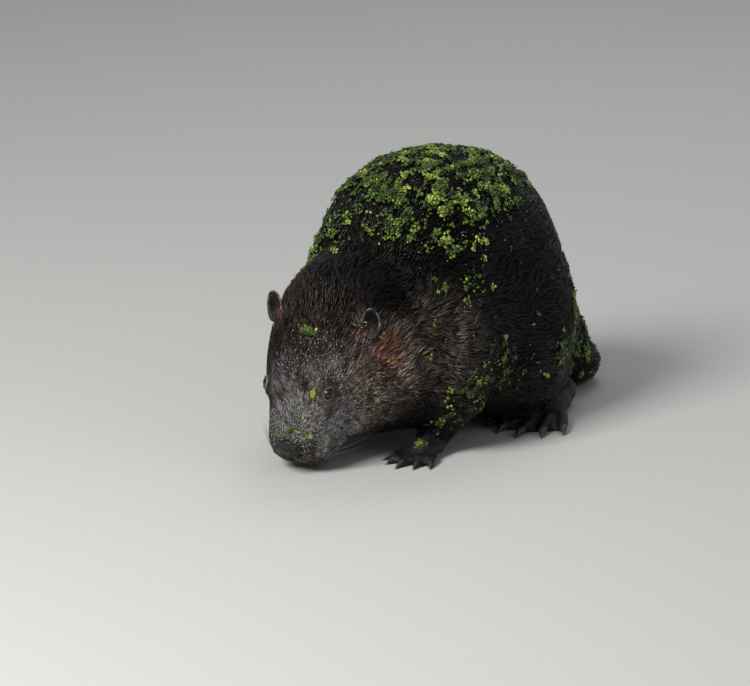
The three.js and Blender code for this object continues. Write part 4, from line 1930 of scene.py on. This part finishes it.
    def _unwrap(self, piece: Piece, uv: Array, faces: Array, cut: Cut) -> None:
        """Gives each tuft a small patch at its root's place on the skin's unwrap.

        Args:
            piece: The coat piece.
            uv: The roots' places on the unwrap.
            faces: One tuft's triangles.
            cut: The tufts' build.
        """
        half = self.patch / 2
        corners = [(dx * half, (2 * share - 1) * half) for share, _ in cut.rings for dx in (-1, 1, 0)]
        corners.append((0.0, half))
        spots = uv[:, None, :] + np.array(corners)[None]
        layer = piece.data.uv_layers.new(name="OFBake")
        layer.data.foreach_set("uv", spots[:, faces.ravel()].astype(np.float32).ravel())


# ---- eyes, nose, whiskers, claws


@dataclass
class Eyes:
    """Two dark wet eyeballs under the lids."""

    skin: Skin
    made: dict[str, Piece] = field(default_factory=dict)

    def build(self) -> None:
        """Makes a smooth ball with a slightly raised cornea for each eye."""
        for name, eye in self.skin.eyes.items():
            bpy.ops.object.select_all(action="DESELECT")
            bpy.ops.mesh.primitive_uv_sphere_add(
                segments=40, ring_count=26, radius=eye.radius * MM, location=eye.centre
            )
            ball = bpy.context.object
            ball.name = f"eyeball_{name}"
            bpy.ops.object.transform_apply(location=True, rotation=True, scale=True)
            points = points_of(ball)
            offset = points - np.array(eye.centre)
            facing = unit(offset) @ np.array(eye.way)
            points += np.array(eye.way) * (0.35 * MM * smooth_step((facing - 0.72) / 0.2))[:, None]
            move_points(ball, points)
            ball.data.shade_smooth()
            self.made[name] = ball
            LOG.info("eyeball_%s", name)

    def dress(self) -> None:
        """Gives each eye its finish and lets it stand for the model's eye."""
        for name, ball in self.made.items():
            finish = EyeFinish(f"eye_{name}", self.skin.eyes[name].front).make()
            put_on(ball, finish, "eye", f"eye_{name}")


@dataclass
class Nose:
    """The black pad of the nose with two comma-shaped nostrils and a groove between them."""

    places: Places
    radii: Triple = (13.6, 8.6, 9.6)
    pitch: float = 16
    pit_at: tuple[float, float] = (7.2, 2.5)
    pit_depth: float = 8.0
    groove_depth: float = 2.2
    made: Piece | None = None

    def build(self) -> None:
        """Shapes the pad from a ball."""
        bpy.ops.object.select_all(action="DESELECT")
        bpy.ops.mesh.primitive_uv_sphere_add(segments=72, ring_count=48, radius=1.0)
        self.made = bpy.context.object
        self.made.name = "nose_pad"
        local = points_of(self.made)
        x, y, z = (local * np.array(self.radii)).T
        front = smooth_step(-y / 4)
        pits = np.zeros(len(x))
        for side in SIDES.values():
            outward = side * (x - side * self.pit_at[0])
            above = z - self.pit_at[1]
            slant = outward + 0.7 * above
            steep = outward * -0.7 + above
            pits += np.exp(-((slant / 4.4) ** 2) - (steep / 2.5) ** 2)
        groove = bell(x, 1.0) * smooth_step((3 - z) / 6)
        y += front * (self.pit_depth * np.minimum(pits, 1) + self.groove_depth * groove)
        x *= 1 - 0.12 * smooth_step(-z / 8)
        turn = math.radians(self.pitch)
        cos, sin = math.cos(turn), math.sin(turn)
        turned = np.column_stack((x, y * cos - z * sin, y * sin + z * cos))
        move_points(self.made, self.places.head.points(turned + np.array(NOSE_AT)))
        # Painted shade in the nostrils, stored for the finish.
        put_values(self.made, "nostril_shade", front * smooth_step(np.minimum(pits, 1) * 1.6 - 0.4))
        self.made.data.shade_smooth()
        LOG.info("nose_pad")

    def dress(self, finish: bpy.types.Material) -> None:
        """Gives the pad its finish and lets it stand for the model's nose."""
        put_on(self.made, finish, "nose", "nose")


@dataclass
class Whiskers(Growth):
    """Stiff thin whiskers in rows on both whisker pads."""

    places: Places
    skin: Skin
    per_side: int = 12
    seed: int = 19

    def build(self) -> None:
        """Sweeps each whisker along a drooping line."""
        rng = np.random.default_rng(self.seed)
        for name, side in SIDES.items():
            self.add(
                f"whiskers_{name}", *merged([self._whisker(i, side, rng) for i in range(self.per_side)])
            )

    def _whisker(self, number: int, side: int, rng: Chance) -> Shape:
        """One tapering whisker.

        Args:
            number: Its number, four to a row.
            side: 1 on the left and -1 on the right.
            rng: The source of chance.

        Returns:
            Its points and its triangles.
        """
        row, place = divmod(number, 4)
        head = self.places.head
        start = head.point(side * (60 - 3 * row), -126 + 4.2 * place + rng.uniform(-1, 1), -49 - 5 * row)
        hit, normal, _, _ = self.skin.tree.ray_cast(start, head.way(-side, 0, 0), 0.1)
        root = hit if hit is not None else head.point(side * 20, -108, -56)
        length = rng.uniform(24, 44) * MM
        way = np.array(head.way(side * 0.9, 0.55 + 0.05 * place, -0.35 + rng.uniform(-0.25, 0.25)))
        droop = np.array(head.way(0, 0.8, -0.6)) * length * 0.35
        shares = np.linspace(0, 1, 9)
        line = np.array(root) + np.outer(shares, way * length) + np.outer(shares**2, droop)
        line[0] -= way * 0.001
        return swept(line, 0.00014 * (1 - shares**1.4) + 0.00003, 5)


def swept(line: Array, radii: Array, spokes: int, squash: float = 1.0) -> Shape:
    """A closed tube along a line of points.

    Args:
        line: Rows of metres.
        radii: A radius for each of them.
        spokes: Points round the tube.
        squash: Width over height of the tube's section.

    Returns:
        Its points and its triangles.
    """
    ahead = unit(np.gradient(line, axis=0))
    side = unit(np.cross(ahead, [0.0, 0.0, 1.0]) + 1e-9)
    up = np.cross(side, ahead)
    turn = full_turn(spokes)[None, :, None]
    ring = side[:, None] * np.cos(turn) * squash + up[:, None] * np.sin(turn)
    return closed_tube((line[:, None] + radii[:, None, None] * ring)[:, ::-1])


@dataclass(frozen=True)
class Paw:
    """The digits of a hand or foot, told in millimetres about its place on the floor."""

    name: str
    at: tuple[float, float]
    turn: float
    root: Triple
    spread: float
    reaches: tuple[float, ...]
    thick: float
    claw: float
    squash: float


PAWS = (
    Paw("hand", (62, -54), 0, (-8, 24, 8), 62, (16, 23, 26, 23, 18), 5.4, 11, 0.8),
    Paw("foot", (78, 122), 13, (-6, 34, 8), 46, (46, 56, 60, 56, 44), 6.6, 10, 1.25),
)


@dataclass
class Claws(Growth):
    """Dark horny claws, hooked on the hands and broad on the feet."""

    SLOT = "claw"

    places: Places

    def build(self) -> None:
        """Makes the five claws of each hand and foot as one object."""
        for paw in PAWS:
            for name, side in SIDES.items():
                points, faces = merged([self._claw(paw, side, i) for i in range(len(paw.reaches))])
                self.add(f"claws_{paw.name}_{name}", points, faces, tone=np.ones(len(points)))

    def _claw(self, paw: Paw, side: int, number: int) -> Shape:
        """One claw, from inside the last joint of its digit to the floor.

        Args:
            paw: The hand or foot.
            side: 1 on the left and -1 on the right.
            number: The digit's number.

        Returns:
            Its points and its triangles.
        """
        share = number / (len(paw.reaches) - 1) - 0.5
        heading = math.radians(side * paw.spread * share)
        ahead = np.array((math.sin(heading), -math.cos(heading)))
        first_y, width, sweep = paw.root
        root = np.array((side * width * share, first_y + abs(share) * sweep))
        reach = paw.reaches[number]
        shares = np.linspace(0, 1, 9)
        distance = reach * 0.9 + shares * (reach * 0.1 + paw.claw)
        start = paw.thick * 0.78
        height = start + 1.3 * np.sin(shares * math.pi) - shares**2 * (start - 0.7) - 0.6
        flat = root + distance[:, None] * ahead
        turn = math.radians(side * paw.turn)
        cos, sin = math.cos(turn), math.sin(turn)
        x = side * paw.at[0] + flat[:, 0] * cos - flat[:, 1] * sin
        y = paw.at[1] + flat[:, 0] * sin + flat[:, 1] * cos
        line = self.places.body.points(np.column_stack((x, y, np.maximum(height, 0.5))))
        radii = paw.thick * 0.46 * (1 - shares**1.8) * MM + 0.00025
        points, faces = swept(line, radii, 10, paw.squash)
        points[:, 2] = np.maximum(points[:, 2], 0.0)
        return points, faces


# ---- duckweed and water


SPRINKLES = (
    Patch(BODY, (14, 34, 246), (70, 118, 46), 1.0),
    Patch(BODY, (-60, -40, 206), (56, 58, 44), 0.26),
    Patch(BODY, (-80, 40, 170), (60, 120, 70), 0.16),
    Patch(BODY, (-52, -72, 176), (14, 34, 22), 0.5),
    Patch(BODY, (40, -60, 208), (40, 24, 12), 0.5),
    Patch(BODY, (66, -30, 195), (18, 22, 12), 0.5),
    Patch(BODY, (84, 6, 196), (10, 12, 18), 0.6),
    Patch(BODY, (79, -38, 162), (14, 16, 10), 0.4),
    Patch(BODY, (86, -20, 152), (16, 30, 24), 0.07),
    Patch(BODY, (76, -54, 128), (5, 6, 7), 0.4),
    Patch(BODY, (99, -20, 124), (3.5, 4.5, 3.5), 2.0),
    Patch(BODY, (102, 4, 80), (24, 26, 22), 0.28),
    Patch(BODY, (102, 14, 60), (14, 14, 12), 0.4),
    Patch(BODY, (100, -24, 58), (24, 24, 22), 0.36),
    Patch(BODY, (84, -46, 34), (18, 16, 16), 0.8),
    Patch(BODY, (103, 112, 70), (10, 12, 32), 0.5),
    Patch(BODY, (102, 62, 48), (20, 44, 20), 0.06),
    Patch(BODY, (74, 172, 94), (20, 20, 60), 0.9),
    Patch(BODY, (54, 226, 44), (18, 46, 44), 1.0),
    Patch(BODY, (20, 240, 40), (50, 60, 44), 0.35),
    Patch(BODY, (-10, 190, 120), (70, 40, 80), 0.22),
    Patch(BODY, (100, 50, 140), (40, 130, 110), 0.014),
    Patch(BODY, (-60, 320, 10), (110, 150, 30), 0.1),
    Patch(HEAD, (3, -30, 16), (9, 4, 6), 3.0),
    Patch(HEAD, (21, -82, -1), (3, 5.5, 4), 3.0),
    Patch(HEAD, (8, -92, -8), (20, 16, 12), 0.14),
    Patch(HEAD, (6, -120, -22), (18, 10, 14), 1.15),
    Patch(HEAD, (31, -102, -45), (3, 3, 3), 2.4),
    Patch(HEAD, (38, -82, -50), (14, 10, 12), 0.2),
    Patch(HEAD, (44, -78, -64), (20, 18, 14), 0.16),
    Patch(HEAD, (56, -48, -48), (16, 20, 16), 0.06),
    Patch(HEAD, (30, -50, -30), (50, 66, 50), 0.012),
    Patch(BODY, (62, -60, 15), (6, 6, 9), 1.6),
)


CLEAR_OF_FLOOR = 0.006
CLEAR_OF_EYES = 0.0115


def uncovered(middles: Array, eyes: list[Eye]) -> Array:
    """Whether something may lie at each place, clear of the eyes and of the floor.

    Args:
        middles: Rows of metres.
        eyes: Both eyes.

    Returns:
        True or false for each place.
    """
    clear = middles[:, 2] > CLEAR_OF_FLOOR
    for eye in eyes:
        clear &= distances(middles, eye.centre) > CLEAR_OF_EYES
    return clear


@dataclass
class Duckweed(Growth):
    """Little green fronds stuck to the wet coat, thick over the back and scattered elsewhere."""

    SLOT = "duckweed"

    places: Places
    eyes: list[Eye]
    candidates: int = 28000
    rim: int = 6
    least: float = 0.6
    growth: float = 2.1
    fronds_to_a_plant: tuple[float, ...] = (0.25, 0.35, 0.25, 0.15)
    piece_limit: int = 150000
    seed: int = 43

    def build(self, ground: Ground) -> None:
        """Scatters plants of one to four fronds over the coat.

        Args:
            ground: The skin's triangles.
        """
        rng = np.random.default_rng(self.seed)
        middles = ground.middles()
        off_ears = np.abs(ground.depth[ground.vertices].mean(axis=1) - EAR_FUR) >= 0.02
        density = strongest(SPRINKLES, self.places, middles) * (off_ears & uncovered(middles, self.eyes))
        roots = ground.draw(self.candidates, density, rng)
        dab = strongest(SPRINKLES, self.places, roots.points) > 1.2
        keep = (rng.uniform(0, 1, len(roots.points)) < self._clustering(roots.points)) | dab
        roots = roots.chosen(keep)
        shrink = np.interp(roots.depth, (2.0, 6.0), (0.55, 1.0))
        patch_tone = 0.42 + 0.3 * waves(roots.points, 0.022, 47) + 0.35 * dab[keep]
        centres, normals, sizes, tones = [], [], [], []
        for i in range(len(roots.points)):
            fronds = int(rng.choice((1, 2, 3, 4), p=self.fronds_to_a_plant))
            tilt = unit(roots.normals[i : i + 1] + rng.normal(0, 0.26, (1, 3)))[0]
            across = unit(np.cross(tilt, rng.normal(size=(1, 3))))[0]
            size = (self.least + self.growth * rng.uniform(0, 1) ** 1.7) * shrink[i] * MM
            tone = patch_tone[i] + rng.uniform(-0.35, 0.45)
            rise = roots.depth[i] * rng.uniform(0.8, 1.12) + 0.3
            middle = roots.points[i] + roots.normals[i] * rise * MM
            for frond in range(fronds):
                turn = frond * 2 * math.pi / fronds + rng.uniform(-0.3, 0.3)
                out = across * math.cos(turn) + np.cross(tilt, across) * math.sin(turn)
                centres.append(middle + out * size * (0.9 if fronds > 1 else 0.0))
                normals.append(unit((tilt + rng.normal(0, 0.16, 3))[None])[0])
                sizes.append(size * rng.uniform(0.75, 1.1))
                tones.append(tone + rng.uniform(-0.25, 0.25))
        self._fronds(np.array(centres), np.array(normals), np.array(sizes), np.array(tones), rng)

    @staticmethod
    def _clustering(points: Array) -> Array:
        """A chance for each place that gathers the fronds in rafts with bare gaps between."""
        rafts = 0.8 * waves(points, 0.034, 44) + waves(points, 0.012, 45) + 0.7 * waves(points, 0.005, 46)
        return np.clip(1.3 * rafts - 0.5, 0.02, 1.0)

    def _fronds(self, centres: Array, normals: Array, sizes: Array, tones: Array, rng: Chance) -> None:
        """Makes the fronds as thin domed discs.

        Args:
            centres: Where they lie.
            normals: The way each faces.
            sizes: The radius of each.
            tones: Light or dark.
            rng: The source of chance.
        """
        count = len(centres)
        along = unit(np.cross(normals, rng.normal(size=(count, 3))))
        across = np.cross(normals, along)
        turn = full_turn(self.rim)[None, :, None]
        oval = rng.uniform(0.6, 0.92, count)[:, None, None]
        ring = (along[:, None] * np.cos(turn) + across[:, None] * np.sin(turn) * oval) * sizes[:, None, None]
        ring = ring + centres[:, None] - normals[:, None] * (0.05 * sizes)[:, None, None]
        top = centres + normals * (0.1 * sizes)[:, None]
        bottom = centres - normals * (0.22 * sizes)[:, None]
        points = np.concatenate((ring, top[:, None], bottom[:, None]), axis=1)
        steps = np.arange(self.rim)
        following = (steps + 1) % self.rim
        upper = np.column_stack((steps, following, np.full(self.rim, self.rim)))
        lower = np.column_stack((following, steps, np.full(self.rim, self.rim + 1)))
        faces = np.vstack((upper, lower))
        order = np.argsort(centres[:, 1], kind="stable")
        share = math.ceil(count * len(faces) / self.piece_limit)
        for number, group in enumerate(np.array_split(order, share), 1):
            triangles = repeated(points[0], faces, len(group))
            tone = np.repeat(tones[group], points.shape[1])
            self.add(f"duckweed_{number:02d}", points[group].reshape(-1, 3), triangles, tone=tone)


WET_PLACES = (
    Patch(HEAD, (8, -110, -18), (26, 26, 22), 1.1),
    Patch(HEAD, (16, -54, 4), (32, 30, 22), 0.36),
    Patch(HEAD, (30, -58, 0), (14, 18, 12), 0.8),
    Patch(HEAD, (38, -80, -44), (30, 40, 34), 0.3),
    Patch(HEAD, (46, -18, -2), (14, 12, 12), 0.35),
    Patch(BODY, (0, 40, 240), (110, 130, 70), 0.05),
)


@dataclass
class Drops(Growth):
    """Tiny beads of water on the tips of the coat."""

    SLOT = "water"

    places: Places
    eyes: list[Eye]
    count: int = 2000
    rim: int = 6
    least: float = 0.36
    most: float = 0.76
    seed: int = 61

    def build(self, ground: Ground) -> None:
        """Sets round beads on the coat, most of them on the forehead and the muzzle.

        Args:
            ground: The skin's triangles.
        """
        rng = np.random.default_rng(self.seed)
        middles = ground.middles()
        share = strongest(WET_PLACES, self.places, middles) * uncovered(middles, self.eyes)
        share *= ground.depth[ground.vertices].mean(axis=1) > 0.8
        roots = ground.draw(self.count, share, rng)
        radii = rng.uniform(self.least, self.most, self.count) ** 2 * MM
        centres = roots.points + roots.normals * ((roots.depth * MM)[:, None])
        turn = full_turn(self.rim)
        rows = []
        for height in (-0.7, 0.0, 0.7):
            wide = math.sqrt(1 - height**2)
            level = np.full(self.rim, height)
            rows.append(np.column_stack((np.cos(turn) * wide, np.sin(turn) * wide, level)))
        shape, faces = closed_tube(np.array(rows))
        shape[-2:] = ((0, 0, -1), (0, 0, 1))
        points = centres[:, None] + radii[:, None, None] * shape[None]
        self.add("water_drops", points.reshape(-1, 3), repeated(shape, faces, self.count))


# ---- studio


@dataclass(frozen=True)
class Softbox:
    """A soft square light, told as a direction from the animal."""

    name: str
    azimuth: float
    elevation: float
    distance: float
    size: float
    power: float
    tint: Triple = (1.0, 1.0, 1.0)


@dataclass
class Studio:
    """The camera, the lights and a plain pale floor."""

    places: Places
    azimuth: float = 35.0
    elevation: float = 15.0
    distance: float = 5.0
    lens: float = 260.4
    aim_right: float = -24.0
    aim_up: float = 83.9
    floor_size: float = 80
    floor_middle: Triple = (0, 8, 0)
    lit_point: Triple = (0, 60, 110)
    sky: tuple[float, float, float, float] = (0.82, 0.88, 0.95, 1.0)
    sky_strength: float = 0.24
    softboxes: tuple[Softbox, ...] = (
        Softbox("key", -6, 38, 2.6, 1.0, 68, (1.0, 0.99, 0.97)),
        Softbox("fill", 95, 30, 3.0, 2.0, 6, (0.93, 0.97, 1.0)),
        Softbox("rim", 200, 50, 2.6, 1.2, 12, (0.97, 1.0, 0.97)),
    )

    def build(self) -> None:
        """Sets up the camera, the lights, the floor and the surrounding light."""
        self._camera()
        target = self.places.body.point(*self.lit_point)
        for softbox in self.softboxes:
            self._light(softbox, target)
        bpy.ops.object.select_all(action="DESELECT")
        bpy.ops.mesh.primitive_plane_add(size=self.floor_size, location=self.floor_middle)
        floor = bpy.context.object
        floor.name = "floor"
        bpy.ops.object.transform_apply(location=True, rotation=True, scale=True)
        floor.data.materials.append(PlainFinish("pale_floor", "c9c8c4", "cccbc7", 0.85).make())
        world = bpy.data.worlds.new("surroundings")
        world.use_nodes = True
        backdrop = world.node_tree.nodes["Background"]
        backdrop.inputs["Color"].default_value = self.sky
        backdrop.inputs["Strength"].default_value = self.sky_strength
        bpy.context.scene.world = world
        bpy.context.scene.view_settings.view_transform = "Standard"

    @staticmethod
    def _hang(name: str, data: bpy.types.Camera | bpy.types.Light, at: Vector, way: Vector) -> Piece:
        """Puts a camera or a light in the scene.

        Args:
            name: The object's name.
            data: The camera or the light.
            at: Its place.
            way: The way it looks.

        Returns:
            The new object.
        """
        made = bpy.data.objects.new(name, data)
        bpy.context.scene.collection.objects.link(made)
        made.location = at
        made.rotation_euler = way.to_track_quat("-Z", "Y").to_euler()
        return made

    @staticmethod
    def _toward(azimuth: float, elevation: float) -> Vector:
        """The direction of an azimuth, 0 in front of the nose, and an elevation."""
        a, e = math.radians(azimuth), math.radians(elevation)
        return Vector((math.sin(a) * math.cos(e), -math.cos(a) * math.cos(e), math.sin(e)))

    def _camera(self) -> None:
        """Places the camera, low and in front of the animal's left side."""
        a, e = math.radians(self.azimuth), math.radians(self.elevation)
        right = Vector((math.cos(a), math.sin(a), 0))
        up = Vector((-math.sin(a) * math.sin(e), math.cos(a) * math.sin(e), math.cos(e)))
        target = self.places.body.point(0, 0, 0) + (right * self.aim_right + up * self.aim_up) * MM
        eye = target + self._toward(self.azimuth, self.elevation) * self.distance
        data = bpy.data.cameras.new("camera")
        data.lens = self.lens
        data.sensor_width = 36.0
        bpy.context.scene.camera = self._hang("camera", data, eye, target - eye)

    def _light(self, softbox: Softbox, target: Vector) -> None:
        """Hangs one softbox, aimed at the animal.

        Args:
            softbox: The softbox.
            target: The place it is aimed at.
        """
        data = bpy.data.lights.new(softbox.name, "AREA")
        data.energy = softbox.power
        data.size = softbox.size
        data.color = softbox.tint
        away = self._toward(softbox.azimuth, softbox.elevation)
        self._hang(softbox.name, data, target + away * softbox.distance, -away)


# ---- the beaver


def corners(box: tuple[Vector, Vector]) -> list[list[float]]:
    """A box as plain lists."""
    return [[float(value) for value in corner] for corner in box]


def main() -> None:
    """Builds the animal piece by piece."""
    logging.basicConfig(level=logging.INFO, format="%(name)s: %(message)s", stream=sys.stdout)
    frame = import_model()
    nodes = frame["nodes"]
    body = body_frame()
    places = Places(body, head_frame(body))
    Studio(places).build()

    skin = Skin(places)
    skin.build(nodes)
    skin.dress(SkinFinish().make(), nodes)

    eyes = Eyes(skin)
    eyes.build()
    eyes.dress()
    nose = Nose(places)
    nose.build()
    nose.dress(NoseFinish().make())
    whiskers = Whiskers(places, skin)
    whiskers.build()
    whiskers.dress(PlainFinish("whisker", "6a6259", "39332d", 0.3).make())
    claws = Claws(places)
    claws.build()
    claws.dress(PlateFinish("claw_horn", "120f0d", "4b4038", 0.28, 400.0).make())
    scales = TailScales(places, skin.tree)
    scales.build()
    scales.dress(PlateFinish("tail_plates", "191714", "4d4a44", 0.36, 260.0).make())

    ground = Ground(skin)
    coat = Coat(places)
    coat.build(ground, skin)
    coat.dress(FurFinish().make())
    eyeballs = list(skin.eyes.values())
    duckweed = Duckweed(places, eyeballs)
    duckweed.build(ground)
    duckweed.dress(DuckweedFinish().make())
    drops = Drops(places, eyeballs)
    drops.build(ground)
    drops.dress(WaterFinish().make())


if __name__ == "__main__":
    main()
